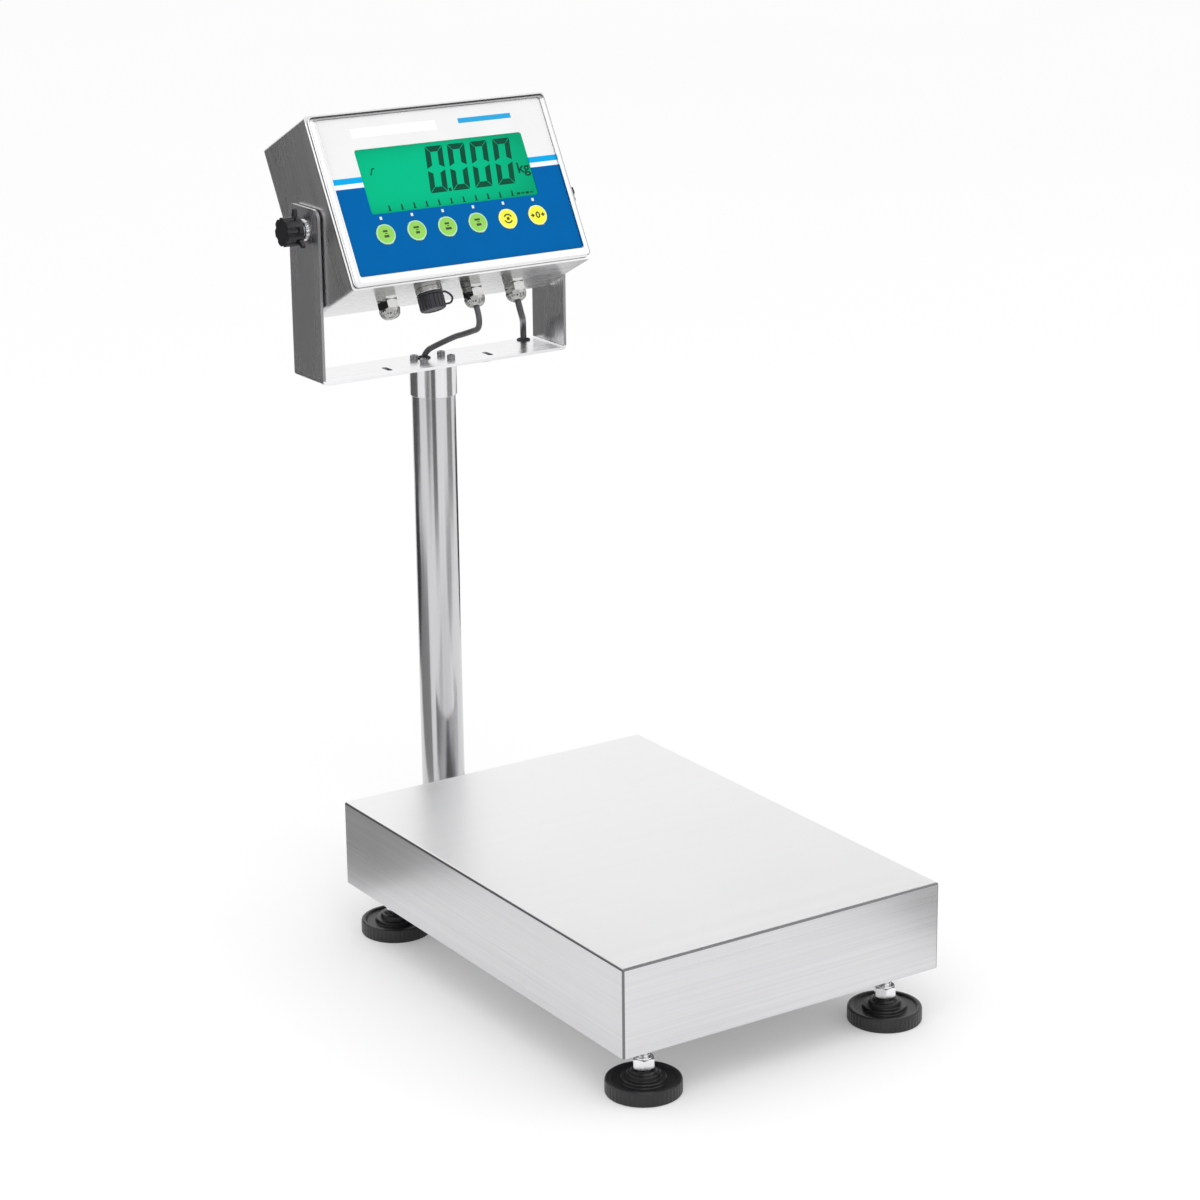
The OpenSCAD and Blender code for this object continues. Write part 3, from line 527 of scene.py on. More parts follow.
def overlay_material():
    """The printed front film: white with two bars above, two stripes, and blue below."""
    m = Maker("front_film", (0.85, 0.85, 0.85), 0.42, Specular_IOR_Level=0.03)
    x, up = m.axis(0), m.axis(1)
    blue_top, white_top, stripe_top = 9.4, 13.5, 18.6
    cloud = m.noise(35.0, 2.0, 0.5)
    share = m.remap(cloud, 0.3, 0.7, 0.0, 1.0)
    white = m.mix(share, (0.78, 0.78, 0.785), (0.81, 0.81, 0.815))
    blue = m.mix(share, (0.0, 0.112, 0.36), (0.0, 0.12, 0.38))
    white_bar = m.math("MULTIPLY", m.between(x, -79, 2), m.between(up, 52.5, 60.5))
    blue_bar = m.math("MULTIPLY", m.between(x, 24, 76), m.between(up, 55.5, 60))
    ground = m.mix(m.math("LESS_THAN", up, blue_top * MM), white, blue)
    ground = m.mix(m.between(up, blue_top, white_top), ground, (0.84, 0.88, 0.93))
    ground = m.mix(m.between(up, white_top, stripe_top), ground, (0.005, 0.37, 0.76))
    ground = m.mix(white_bar, ground, (0.99, 0.99, 0.99))
    ground = m.mix(blue_bar, ground, (0.03, 0.36, 0.68))
    m.color(ground)
    m.rough(m.remap(cloud, 0.3, 0.7, 0.36, 0.46))
    m.bump(m.noise(2600.0, 2.0, 0.5), 0.12, 0.01)
    return m.material


def display_material():
    """The lit green display, a little dimmer towards its edges."""
    m = Maker("display_glass", (0.0, 0.5, 0.25), 0.22, Specular_IOR_Level=0.05, Emission_Strength=0.22)
    x, up = m.axis(0), m.axis(1)
    # Distances from the brightest point, as shares of the reach to where it is dimmest
    side = m.math("DIVIDE", m.math("ADD", x, 25 * MM), 115 * MM)
    rise = m.math("DIVIDE", m.math("SUBTRACT", up, 13.5 * MM), 32 * MM)
    side = m.math("POWER", m.math("ABSOLUTE", side), 3.0)
    rise = m.math("POWER", m.math("ABSOLUTE", rise), 4.0)
    cloud = m.noise(22.0, 2.0, 0.5)
    edge = m.math("ADD", m.math("ADD", side, rise), m.math("MULTIPLY", cloud, 0.15), clamp=True)
    shade = m.mix(edge, (0.0, 0.4, 0.195), (0.0, 0.27, 0.125))
    m.color(shade)
    m.put(m.shader.inputs["Emission Color"], shade)
    m.bump(m.noise(1800.0, 2.0, 0.5), 0.05, 0.005)
    return m.material


def vial_material():
    """Yellow-green liquid behind a clear dome, with a ring."""
    m = Maker("level_vial", (0.55, 0.75, 0.12), 0.12, Coat_Weight=1.0, Coat_Roughness=0.03)
    cloud = m.noise(300.0, 2.0, 0.5)
    m.tones(cloud, 0.3, 0.7, (0.5, 0.72, 0.1), (0.62, 0.8, 0.18))
    m.bump(cloud, 0.1, 0.02)
    return m.material


FILM = overlay_material()
DISPLAY = display_material()
BOARD = board_material()
VIAL = vial_material()

# ---- camera ----

camera_data = bpy.data.cameras.new("camera")
camera_data.lens = 96.24
camera_data.sensor_width = 36
camera_data.clip_end = 100
camera = bpy.data.objects.new("camera", camera_data)
scene.collection.objects.link(camera)
# The camera's own axes and place, fitted to the view
VIEW_RIGHT = Vector((0.83629, -0.54819, -0.01027))
VIEW_UP = Vector((0.17063, 0.24242, 0.95505))
VIEW_BACK = VIEW_RIGHT.cross(VIEW_UP)
VIEW_FROM = (-1.35383, -2.03689 + PAN_Y * MM, 1.08181)
VIEW_AXES = Matrix((VIEW_RIGHT, VIEW_UP, VIEW_BACK)).transposed()
camera.matrix_world = Matrix.Translation(VIEW_FROM) @ VIEW_AXES.to_4x4()
scene.camera = camera

# ---- cords: routes are in millimetres from the column's axis at floor level ----

CELL_ROUTE = [
    (8.5, -59.7, 522.1), (8.5, -61.8, 517.8), (8.5, -64.2, 512.7), (8.6, -65.1, 508.3), (8.9, -64.6, 504.4),
    (9.3, -62.3, 500.8), (9.6, -58.7, 498.3), (9.7, -53, 496.2), (8, -39, 491), (5.5, -27, 486.5),
    (-1, -3, 474.5), (-2.6, 4.2, 469.8), (-3.4, 8, 464.8), (-3.5, 9.1, 460), (-3.5, 9.2, 452),
    (-2.5, 6.5, 425), (0, 1, 385), (0, 0, 200), (0, 1.5, 90), (0, 2, 60),
    (0, 2, 43.5), (0, 0.4, 37.4), (0, -4, 32.9), (0, -10, 31.2), (0, -19, 31.2),
    (0, -45, 31.2), (0, -110, 31.2), (0, -137, 31.2), (0, -146, 31.2), (0, -152, 32.9),
    (0, -156.4, 37.4), (0, -158, 43.5), (0, -158, 56), (0, -158, 69), (0, -159.6, 74.9),
    (0, -164.1, 79.3), (0, -170, 81), (0, -177, 81), (0, -190, 81), (0, -224, 81),
]
POWER_ROUTE = [
    (49.5, -59.7, 522.1), (49.5, -61.8, 517.8), (50, -63.2, 512.8), (51.6, -62.7, 508), (53.8, -60.6, 504.4),
    (56.5, -56.9, 502.2), (60.5, -50.5, 500.2), (72, -32, 494.5), (88, -6.5, 486.5), (96, 6.2, 482),
    (99.5, 11.8, 480), (102.1, 16, 477.2), (103.6, 18.4, 473.2), (104, 19, 468.5), (104, 19, 464),
    (102.4, 19.1, 458.4), (98.2, 19.3, 454.4), (92.5, 19.5, 453), (84, 19.6, 453), (62, 20.3, 453),
    (33, 21.5, 453), (24, 21.8, 453), (18.2, 21.8, 451.4), (14.1, 21.7, 447.2), (12.5, 21.5, 441.5),
    (12.5, 21.5, 433), (12.5, 21.5, 410), (12.5, 21.5, 350), (12.5, 21.5, 200), (12.5, 21.5, 120),
    (12.6, 23, 92), (13.5, 29, 72), (16, 41, 56), (21, 56, 44), (28, 66, 30),
    (38, 68, 15), (50, 60, 4), (57, 42, 2.8), (58, 15, 2.8), (57.5, -13, 2.8),
]
TAIL_ROUTE = [
    (122.7, 3, 8), (119.8, 8.5, 9), (117.5, 15, 10.5), (115.8, 22, 11.6), (115.1, 28, 12), (115, 34, 12),
    (115, 40, 12),
]
TETHER_ROUTE = [(12.6, 0, 4.8), (15, 0, 4.9), (19, -1, 7), (21, -1, 10.5), (18.5, -1, 14.5), (12.4, 0, 15.5)]
CELL_CABLE_D = 5
POWER_CABLE_D = 5.5
CABLE_SIDES = 18
COIL_X, COIL_Y = 95, -13
COIL_R = 37.5
COIL_FULL = 1650
COIL_LOW, COIL_HIGH = 3.1, 8.6
# The x of the adapter's left side, where its pins stand out
ADAPTER_SIDE = 90


def eased(value, start, end):
    """0 before start and 1 after end, with a smooth rise between them."""
    t = min(max((value - start) / (end - start), 0), 1)
    return t * t * (3 - 2 * t)


def coil_point(angle):
    """A point on the stored coil, by the angle wound so far: three turns inwards, then up and outwards."""
    step = POWER_CABLE_D
    radius = COIL_R - step * eased(angle, 300, 360) - step * eased(angle, 660, 720)
    radius += step * eased(angle, 1290, 1350)
    height = COIL_LOW + (COIL_HIGH - COIL_LOW) * eased(angle, 960, 1020)
    a = math.radians(180 + angle)
    return (COIL_X + radius * math.cos(a), COIL_Y + radius * math.sin(a), height)


def cord_piece(name, line, diameter, replaces):
    """A cord's mesh, on no body, baked in place."""
    shape = tube(line, diameter / 2, CABLE_SIDES)
    obj = piece(name, shape, AT_COLUMN, None, CABLE_JACKET, replaces, 60)
    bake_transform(obj)
    return obj


cell_line = curve_points(CELL_ROUTE, 5)
cell_cable = cord_piece("cell_cable", cell_line, CELL_CABLE_D, ["load_cell_cable"])

# The coil's first point stands in for the last point of the route
coil_line = [coil_point(a) for a in range(0, COIL_FULL, 15)]
power_line = curve_points(POWER_ROUTE[:-1] + coil_line + TAIL_ROUTE, 4)
power_cord = cord_piece("power_cord", power_line, POWER_CABLE_D, ["power_cable", "power_coil"])

adapter = softened("power_adapter", 1.2, ADAPTER_PLASTIC)
repaint(adapter, CHROME, lambda normal, at: at.x < ADAPTER_SIDE - 0.5)


def strain_relief():
    """A tapered, ribbed sleeve on the last of the lead, up to the adapter's own collar."""
    line = curve_points(TAIL_ROUTE[1:6], 12)[12:37]
    last = len(line) - 1
    radii = [3.2 + 1.1 * i / last - (0.45 if i % 4 == 2 else 0) for i in range(last + 1)]
    return tube(line, radii, 28)


relief = piece("adapter_strain_relief", strain_relief(), AT_COLUMN, "base",
               ADAPTER_PLASTIC, (), 60)


def coil_tie():
    """A band round the coil's turns at its rear."""
    outer = rounded(18.3, 12.1, 3, 0)
    inner = rounded(17.0, 11.2, 2.6, 0)
    rows = ((outer, -4, 6.08), (outer, 4, 6.08), (inner, 4, 6.16), (inner, -4, 6.16))
    return loft([[(x, side, y + lift) for x, y, _ in outline] for outline, side, lift in rows], closed=True)


tie_place = AT_COLUMN @ shift(COIL_X, COIL_Y, 0) @ turn(100, "Z") @ shift(32, 0, 0)
coil_band = piece("coil_tie", coil_tie(), tie_place, "base", TIE_PLASTIC)

AT_SOCKET = at_gland(1)
strap = join(
    tube(curve_points(TETHER_ROUTE, 8), 0.9, 12),
    loft([circle(10, 4.5), circle(10, 5), circle(6.5, 5), circle(6.5, 4.5)], closed=True),
    moved(slab(4.2, 2, 0.3, 4.5, 5, 0.1), shift(11.1, 0, 0)),
)
tether = piece("cap_strap", strap, AT_SOCKET, None, CAP_PLASTIC, ["cap_tether"])
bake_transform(tether)

# ---- platform ----

PAN_W, PAN_D, PAN_H = 300, 426, 73
# Radius of the fold round the pan's top
PAN_BEND = 2.2


def pan_shape():
    """A folded steel cover: outer skin, a rolled lower lip, inner skin."""
    w, d, r, t = PAN_W, PAN_D, 2, 1.5
    low, top = PAN_TOP - PAN_H, PAN_TOP
    bend = PAN_BEND
    outer = [(0.15, low), (0, low + 0.2), (0, top - bend)]
    outer += [(bend * (1 - math.cos(math.radians(a))), top - bend + bend * math.sin(math.radians(a)))
              for a in (15, 30, 45, 60, 75, 90)]
    inner = [(t + bend * 0.6, top - t), (t, top - t - bend * 0.6), (t, low + 0.2), (t - 0.15, low)]
    rings = [rounded(w, d, r + 0.2, z, inset) for inset, z in outer]
    back = [rounded(w, d, r + 0.2, z, inset) for inset, z in inner]
    points, faces = loft(rings + back, capped=False)
    count = len(rings[0])
    top_row, under_row = (len(outer) - 1) * count, len(outer) * count
    # The two lofted rows between the skins would cross the plate, so they give way to two flat faces
    faces = [f for f in faces if not (min(f) >= top_row and min(f) < top_row + count and max(f) >= under_row)]
    faces.append([top_row + k for k in range(count)])
    faces.append([under_row + k for k in range(count)])
    last = (len(rings) + len(back) - 1) * count
    for k in range(count):
        n = (k + 1) % count
        faces.append([last + k, last + n, n, k])
    return points, faces


pan = piece("pan_cover", pan_shape(), AT_PAN, "pan", PAN_SIDE_SHADED_STEEL, ["weighing_pan"], 50)
# The top takes the brighter copy of the steel; the darker sides are painted shade
repaint(pan, PAN_TOP_STEEL, lambda normal, at: abs(normal.z) > 0.9)


def on_fold_shade(normal, at):
    """The folds round the pan's top and down its four corners, seen from outside, which get a painted dark
    line of shade.
    """
    outside = at.z > PAN_TOP - PAN_BEND - 0.2 or abs(at.x) > PAN_W / 2 - 1.6
    return outside and (0.2 < normal.z <= 0.9 or (abs(normal.x) > 0.35 and abs(normal.y) > 0.35))


# The folds are painted dark, as a line of shade
repaint(pan, FOLD_SHADE_STEEL, on_fold_shade)

CORNERS = [("front_left", -1, -1), ("front_right", 1, -1), ("rear_left", -1, 1), ("rear_right", 1, 1)]
# Where the feet stand, from the pan's middle
FOOT_X, FOOT_Y = 116, 189
PAD_R = 30
PAD_PROFILE = [
    (0, 0), (28.6, 0), (29.5, 0.3), (PAD_R, 1), (PAD_R, 9.8), (29.6, 11.2), (28.6, 11.9), (27, 12),
    (26.2, 11.7), (25.4, 10.5), (24.6, 10.1), (18.4, 10), (17.9, 10.5), (17.6, 12.3), (17, 12.9),
    (13.7, 13.1), (13.3, 13.6), (13, 16.4), (12.4, 17), (10.7, 17.1), (10.2, 17.6), (9.6, 18.6),
    (9, 19), (6.2, 19), (6, 18.7), (6, 6), (0, 6),
]


def pad_shape():
    """A turned rubber pad with a ring of small grip ribs round its rim."""
    def rim(z):
        return polar(lambda a: PAD_R - 0.35 * (0.5 + 0.5 * math.cos(a * 48)) ** 4, z, 192)
    return loft([rim(z) if r == PAD_R else circle(max(r, 0.01), z, 192) for r, z in PAD_PROFILE])


for corner, sx, sy in CORNERS:
    place = AT_PAN @ shift(sx * FOOT_X, sy * FOOT_Y, 0)
    body = "foot_" + corner
    piece("pad_" + corner, pad_shape(), place, body, RUBBER, ["foot_pad_" + corner], 30)
    stud = join(
        lathe([(0.01, 6), (5.2, 6), (5.8, 6.6), (5.8, 20.3)], 40),
        hexagon(9.2, 20, 29),
        lathe([(7.3, 28.9), (7.2, 29.6), (5.1, 29.7)], 40),
        thread(4.95, 0.55, 1.5, 29.4, 74),
    )
    piece("stud_" + corner, stud, place, body, CHROME, ["foot_stud_" + corner], 40)

softened("pan_support", 1.2, FRAME_STEEL)
softened("base_frame", 1.2, FRAME_STEEL)
# The load cell rides on no body; its mesh is baked in place
cell = softened("load_cell", 0.5, ALLOY, rides=False)
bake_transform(cell)

# ---- column ----

# Half the flange's width, and the reach of its cut corners
FLANGE_HALF, FLANGE_CORNER = 31, 4
softened("column_bracket", 0.8, FRAME_STEEL)


def flange_ring(z, inset):
    """The outline of the column's square flange, with its corners cut."""
    half = FLANGE_HALF - inset
    limit = (half - FLANGE_CORNER) * math.sqrt(2) + FLANGE_CORNER
    ring = []
    for x, y, _ in circle(1, 0, 112, math.pi / 4):
        reach = min(half / max(abs(x), abs(y)), limit)
        ring.append((x * reach, y * reach, z))
    return ring


def column_shape():
    """A round tube welded on a square flange, with a fillet of weld at its foot."""
    skin = [(17.5, 40.2), (17.5, 451.6), (17.9, 452), (18.6, 452), (19, 451.6), (19, 49.5), (19.6, 47.6),
            (21.5, 46)]
    rings = [circle(r, z, 112, math.pi / 4) for r, z in skin]
    rings += [flange_ring(z, inset) for z, inset in ((46, 0.5), (45.5, 0), (40.5, 0), (40, 0.5))]
    return loft(rings, closed=True)


piece("column_post", column_shape(), AT_COLUMN, "base", COLUMN_STEEL, ["column_tube"], 40)
COLLAR_PROFILE = [
    (19.05, 433.2), (19.3, 433), (20.2, 433), (20.5, 433.3), (20.5, 459.9), (20, 460.45), (12, 460.45),
    (12, 452.2), (19.05, 452.2),
]
# The collar wears the brighter copy of the column's steel, a painted highlight
piece("column_cup", lathe(COLLAR_PROFILE, 96, True), AT_COLUMN, "base", COLLAR_HIGHLIGHT_STEEL,
      ["column_collar"], 40)


def on_shaded_edge(normal, at):
    """The faces painted as shade: the walls of the bracket's two slots, and the front of its ears."""
    y, z = at.y - COLUMN_Y, at.z - WEB_Z
    in_slot = z < 2 and abs(normal.z) < 0.5 and abs(y) < 20 and 20 < abs(at.x) < 90
    return in_slot or (normal.y < -0.3 and z > 6)


repaint(softened("indicator_bracket", 0.3, BRACKET_STEEL), BRACKET_SHADE_STEEL, on_shaded_edge)


def cap_screw(head_r, head_h, socket_r, shank_r, shank):
    """A socket-headed screw with its head up and a knurled rim."""
    def knurl(r):
        return lambda a: r - 0.12 * (0.5 + 0.5 * math.cos(36 * a))

    def socket(a):
        return socket_r * math.cos(math.pi / 6) / math.cos((a % (math.pi / 3)) - math.pi / 6)
    rings = [polar(lambda a: 0.01, -shank, 144), polar(lambda a: shank_r - 0.3, -shank, 144),
             polar(lambda a: shank_r, -shank + 0.4, 144), polar(lambda a: shank_r, -0.01, 144),
             polar(lambda a: head_r - 0.15, 0, 144), polar(knurl(head_r), 0.2, 144),
             polar(knurl(head_r), head_h - 0.5, 144), polar(lambda a: head_r - 0.4, head_h, 144),
             polar(lambda a: socket(a) + 0.25, head_h, 144), polar(socket, head_h - 0.25, 144),
             polar(socket, head_h * 0.5, 144), polar(lambda a: 0.01, head_h * 0.5 - 0.4, 144)]
    return loft(rings)


SCREW_X, SCREW_Y = 13.5, 8.5
screws = [moved(cap_screw(3.5, 4, 1.7, 1.95, 9), shift(sx * SCREW_X, sy * SCREW_Y, WEB_Z + WEB_THICK))
          for sx in (-1, 1) for sy in (-1, 1)]
piece("web_screws", join(*screws), AT_COLUMN, "base", BOLT_STEEL, ["web_bolts"], 30)


def grommet(x, y):
    """A rubber ring in one of the web's two cable holes."""
    bore = 3.7
    profile = [(bore, WEB_Z + 0.2), (bore, WEB_Z + 3.3), (bore + 0.3, WEB_Z + 3.6), (5.4, WEB_Z + 3.7),
               (6, WEB_Z + 3.2), (6, WEB_Z + WEB_THICK), (4.95, WEB_Z + WEB_THICK), (4.95, WEB_Z)]
    return moved(lathe(profile, 48, True), shift(x, y, 0))


piece("web_grommet_rings", join(grommet(-3.5, 9), grommet(104, 19)), AT_COLUMN, "base",
      GASKET_RUBBER, ["web_grommets"], 40)
vial_ring = lathe([(7, 42), (7, 46.6), (7.3, 47), (8.6, 47), (9, 46.5), (9, 40), (8, 40)], 48, True)
vial_dome = lathe([(6.9, 42), (6.9, 44.8), (5.4, 45.7), (3, 46.2), (0.01, 46.35)], 48)
vial_place = AT_COLUMN @ shift(-19, -58, 0)
piece("level_ring", vial_ring, vial_place, "base", TURNED_STEEL, ["level_bubble"], 40)
piece("level_dome", vial_dome, vial_place, "base", VIAL, (), 40)

# ---- indicator ----

softened("housing", 0.5, HOUSING_STEEL, FRONT)
softened("bezel", 0.35, BEZEL_STEEL, FRONT)


def bezel_lip():
    """The frame's rounded front, from its outer rim in to the film's pocket."""
    outer = rounded(228.4, 148.4, 4, 0)
    inner = [(x, y + 2, z) for x, y, z in rounded(217.6, 137.6, 2.3, 0)]
    profile = [(0, -0.3), (0, 0.1), (0.05, 0.4), (0.12, 0.7), (0.24, 1.05), (0.4, 1.35), (0.6, 1.55),
               (0.8, 1.62), (0.94, 1.6), (0.98, 1.45), (1, 1.2), (1, -0.25)]
    return loft([[(a[0] + (b[0] - a[0]) * t, a[1] + (b[1] - a[1]) * t, z) for a, b in zip(outer, inner)]
                 for t, z in profile], closed=True)


lip = piece("bezel_lip", bezel_lip(), FRONT, "indicator", BEZEL_STEEL, (), 50)
# The upper band, and the slope at the right, take a darker steel: a painted dark reflection
repaint(lip, LIP_REFLECTION_STEEL, lambda normal, at: at.y > 69 or at.x > 112.6)
softened("front_overlay", 0.12, FILM, FRONT)
softened("lcd_panel", 0.2, DISPLAY, FRONT)
softened("battery_pack", 2.0, BATTERY_WRAP, FRONT)

# The display's marks are thin plates between these two heights
SEGMENT_LOW, SEGMENT_HIGH = -0.99, -0.95
DIGIT_H, DIGIT_W, STROKE, SLANT = 41, 16.8, 5.0, 0.16
DIGIT_FOOT = -2.5
DIGIT_XS = (-9.2, 12.4, 34.4, 56.9)
# The scale of ticks under the digits
TICK_X, TICK_PITCH, TICK_COUNT = -63, 11.9, 11


def outline_plate(outline, z0, z1):
    return loft([[(x, y, z0) for x, y in outline], [(x, y, z1) for x, y in outline]])


def leaned(x0, outline):
    """Points of a digit, leaned slightly to the right."""
    return [(x0 + x + SLANT * (y - DIGIT_H / 2), y + DIGIT_FOOT) for x, y in outline]


def zero_digit(x0):
    """Six bars round a display's nought, with mitred ends."""
    w, h, s, gap = DIGIT_W / 2, DIGIT_H, STROKE, 0.5
    bars = [
        [(-w + gap, h), (w - gap, h), (w - s, h - s), (-w + s, h - s)],
        [(-w + gap, 0), (w - gap, 0), (w - s, s), (-w + s, s)],
    ]
    for side in (-1, 1):
        for foot, head, lean in ((h / 2 + gap * 2, h - gap, 1), (gap, h / 2 - gap * 2, -1)):
            inner_low = foot + (s if lean < 0 else s * 0.5)
            inner_high = head - (s if lean > 0 else s * 0.5)
            bars.append([(side * w, foot), (side * w, head), (side * (w - s), inner_high),
                         (side * (w - s), inner_low)])
    return [outline_plate(leaned(x0, bar), SEGMENT_LOW, SEGMENT_HIGH) for bar in bars]


def box_plate(x, y, w, h, z0, z1):
    return outline_plate([(x - w / 2, y - h / 2), (x + w / 2, y - h / 2), (x + w / 2, y + h / 2),
                          (x - w / 2, y + h / 2)], z0, z1)


def letters(text, size, x, y, z):
    """Short generic display text as a flat shape."""
    curve = bpy.data.curves.new("letters", "FONT")
    curve.body = text
    curve.size = size
    curve.extrude = 0.02
    curve.offset = size * 0.02
    obj = bpy.data.objects.new("letters", curve)
    scene.collection.objects.link(obj)
    bpy.context.view_layer.update()
    mesh = bpy.data.meshes.new_from_object(obj.evaluated_get(bpy.context.evaluated_depsgraph_get()))
    points = [(v.co.x + x, v.co.y + y, v.co.z + z) for v in mesh.vertices]
    faces = [list(p.vertices) for p in mesh.polygons]
    bpy.data.objects.remove(obj)
    return points, faces


def display_mark(x, y, w, h):
    return box_plate(x, y, w, h, SEGMENT_LOW, SEGMENT_HIGH)


display_marks = []
for x in DIGIT_XS:
    display_marks += zero_digit(x)
display_marks.append(display_mark(-1.7, DIGIT_FOOT + 1.5, 2.6, 3.0))
for k in range(TICK_COUNT):
    tick = TICK_X + TICK_PITCH * k
    display_marks += [display_mark(tick, -10.6, 1.5, 4.2), display_mark(tick, -13.1, 2.6, 0.8)]
for k in range(4):
    display_marks.append(display_mark(62 + 4.4 * k, -11.8, 3.2, 2.0 - 0.8 * (k % 2)))
hook = [(-72, 19), (-70.8, 19), (-68.5, 24), (-66.5, 24), (-66.5, 25), (-69.4, 25)]
display_marks.append(outline_plate(hook, SEGMENT_LOW, SEGMENT_HIGH))
display_marks.append(letters("kg", 13.5, 67.6, 6.0, SEGMENT_LOW + 0.02))
piece("display_segments", join(*display_marks), FRONT, "indicator", INK_SEGMENT)

KEY_PITCH, KEY_UP = 29.5, -33
# The print on a key starts under its face's top
PRINT_LOW = 0.3
KEY_PROFILE = [(0.01, -5.5), (5.3, -5.5), (5.6, -5.2), (5.6, -0.5), (8.6, -0.5), (8.8, -0.3), (8.8, 0.12),
               (8.65, 0.26), (8.4, 0.3)]
KEY_FACE = [(7.8, 0.28), (7.7, 0.34), (7.4, 0.37), (4.5, 0.39), (0.01, 0.42)]


def arrow(x, y, way, size):
    return outline_plate([(x, y - size), (x, y + size), (x + way * size * 1.3, y)], PRINT_LOW, 0.47)


def nought_marks():
    """A nought between two arrows that point at it."""
    angles = [math.radians(a) for a in range(0, 360, 20)]
    ring = [(2.1 * math.cos(a), 2.9 * math.sin(a)) for a in angles]
    hole = [(0.45 * x, 0.6 * y) for x, y in ring]
    rows = [(ring, PRINT_LOW), (ring, 0.5), (hole, 0.5), (hole, PRINT_LOW)]
    nought = loft([[(x, y, z) for x, y in outline] for outline, z in rows], closed=True)
    return [nought, arrow(-5.6, 0, 1, 2.0), arrow(5.6, 0, -1, 2.0),
            box_plate(-5.9, 0, 1.6, 1.1, PRINT_LOW, 0.45), box_plate(5.9, 0, 1.6, 1.1, PRINT_LOW, 0.45)]


def arc_marks():
    """Two arcs round a square."""
    marks = []
    for start in (200, 20):
        angles = [math.radians(start + a) for a in range(0, 131, 10)]
        ring = [(4.3 * math.cos(a), 4.3 * math.sin(a)) for a in angles]
        back = [(3.1 * math.cos(a), 3.1 * math.sin(a)) for a in reversed(angles)]
        marks.append(outline_plate(ring + back, PRINT_LOW, 0.46))
    marks.append(box_plate(0, 0, 2.6, 2.6, PRINT_LOW, 0.47))
    return marks


def key_marks(i):
    """Plain printed marks on a key."""
    if i == 6:
        return nought_marks()
    if i == 5:
        return arc_marks()
    rows = [(-0.2, 2.6, 5.2 - (i % 2), 1.7), (0.2, -1.9, 5.6 - (i % 3), 2.1), (0.3, 0.5, 2.2, 0.7)]
    return [box_plate(x, y, w, h, PRINT_LOW, 0.46) for x, y, w, h in rows]


white_marks = []
for i in range(1, 7):
    x = (i - 3.5) * KEY_PITCH
    place = FRONT @ shift(x, KEY_UP, 0)
    body = "key_body_%d" % i
    slot, ring, face = "key_green", KEY_RING, KEY_GREEN
    if i > 4:
        slot, ring, face = "key_yellow", KEY_YELLOW_RING, KEY_YELLOW
    piece("key_rim_%d" % i, lathe(KEY_PROFILE, 64), place, body, ring, ["key_%d" % i], 30)
    piece("key_face_%d" % i, lathe(KEY_FACE, 64), place, body, face, (), 30)
    piece("key_print_%d" % i, join(*key_marks(i)), place, body, INK_DARK)
    white_marks.append(box_plate(x - 0.3, KEY_UP + 14.2, 2.2, 2.6, -0.31, -0.27))
piece("front_marks", join(*white_marks), FRONT, "indicator", INK_WHITE)

# ---- glands, socket and cap ----

# From the middle of a gland's hexagon to its corners
HEX_R = 9.8


def gland_body_shape():
    """A gland's hexagon, its thread through the housing and the nut inside."""
    return join(
        hexagon(HEX_R, 0, 6.5, False),
        lathe([(7.2, 6.4), (7.6, 7), (7.6, 10)], 64),
        lathe([(6, -8), (6, 0)], 48),
        hexagon(HEX_R, -5.5, -1.5),
    )


def gland_nut_shape(seat):
    """The nut's hexagon and its domed, ribbed nose, with a cable seat if it isn't blind."""
    nose = [(9.0, 14.2), (9.0, 15.6), (8.8, 16.6), (8.3, 18.2), (7.4, 19.6), (6.2, 20.8), (4.9, 21.5)]

    def fins(r, z):
        wave = 0.35 if 14.4 < z < 19.8 else 0.0
        return polar(lambda a: r - wave * (0.5 + 0.5 * math.cos(12 * a)) ** 3, z, 96)
    rings = [circle(9.0, 14.0, 96)] + [fins(r, z) for r, z in nose]
    if seat:
        rings += [circle(seat + 0.2, 21.5, 96), circle(seat, 21.3, 96), circle(seat, 17.5, 96)]
    else:
        rings += [circle(3, 21.6, 96), circle(0.01, 21.65, 96)]
    return join(hexagon(HEX_R, 6.5, 14.5), loft(rings))


bodies = [moved(gland_body_shape(), at_gland(k)) for k in (0, 2, 3)]
piece("gland_bases", join(*bodies), IDENTITY, "indicator", GLAND_STEEL, ["gland_bodies"], 30)
nuts = [moved(gland_nut_shape(seat), at_gland(k)) for k, seat in ((0, 0), (2, 2.95), (3, 3.2))]
piece("gland_caps", join(*nuts), IDENTITY, "indicator", GLAND_STEEL, ["gland_nuts"], 30)
SOCKET_PROFILE = [
    (0.01, 0), (11.1, 0), (11.5, 0.4), (11.5, 4.1), (11.1, 4.5), (6, 4.5), (6, 13.1), (5.6, 13.5),
    (4.9, 13.5), (4.6, 13.2), (4.6, 5.5), (0.01, 5.5),
]
socket = join(lathe(SOCKET_PROFILE, 64), thread(6.25, 0.35, 1.2, 5.2, 12.8, 48))
piece("socket_barrel", socket, AT_SOCKET, "indicator", GLAND_STEEL, ["data_socket"], 35)


def ribbed(radius, z, depth):
    """A ring with 18 ribs."""
    return polar(lambda a: radius + depth * min(1.0, max(0.0, 1.6 * math.cos(18 * a) + 0.3)), z, 360)


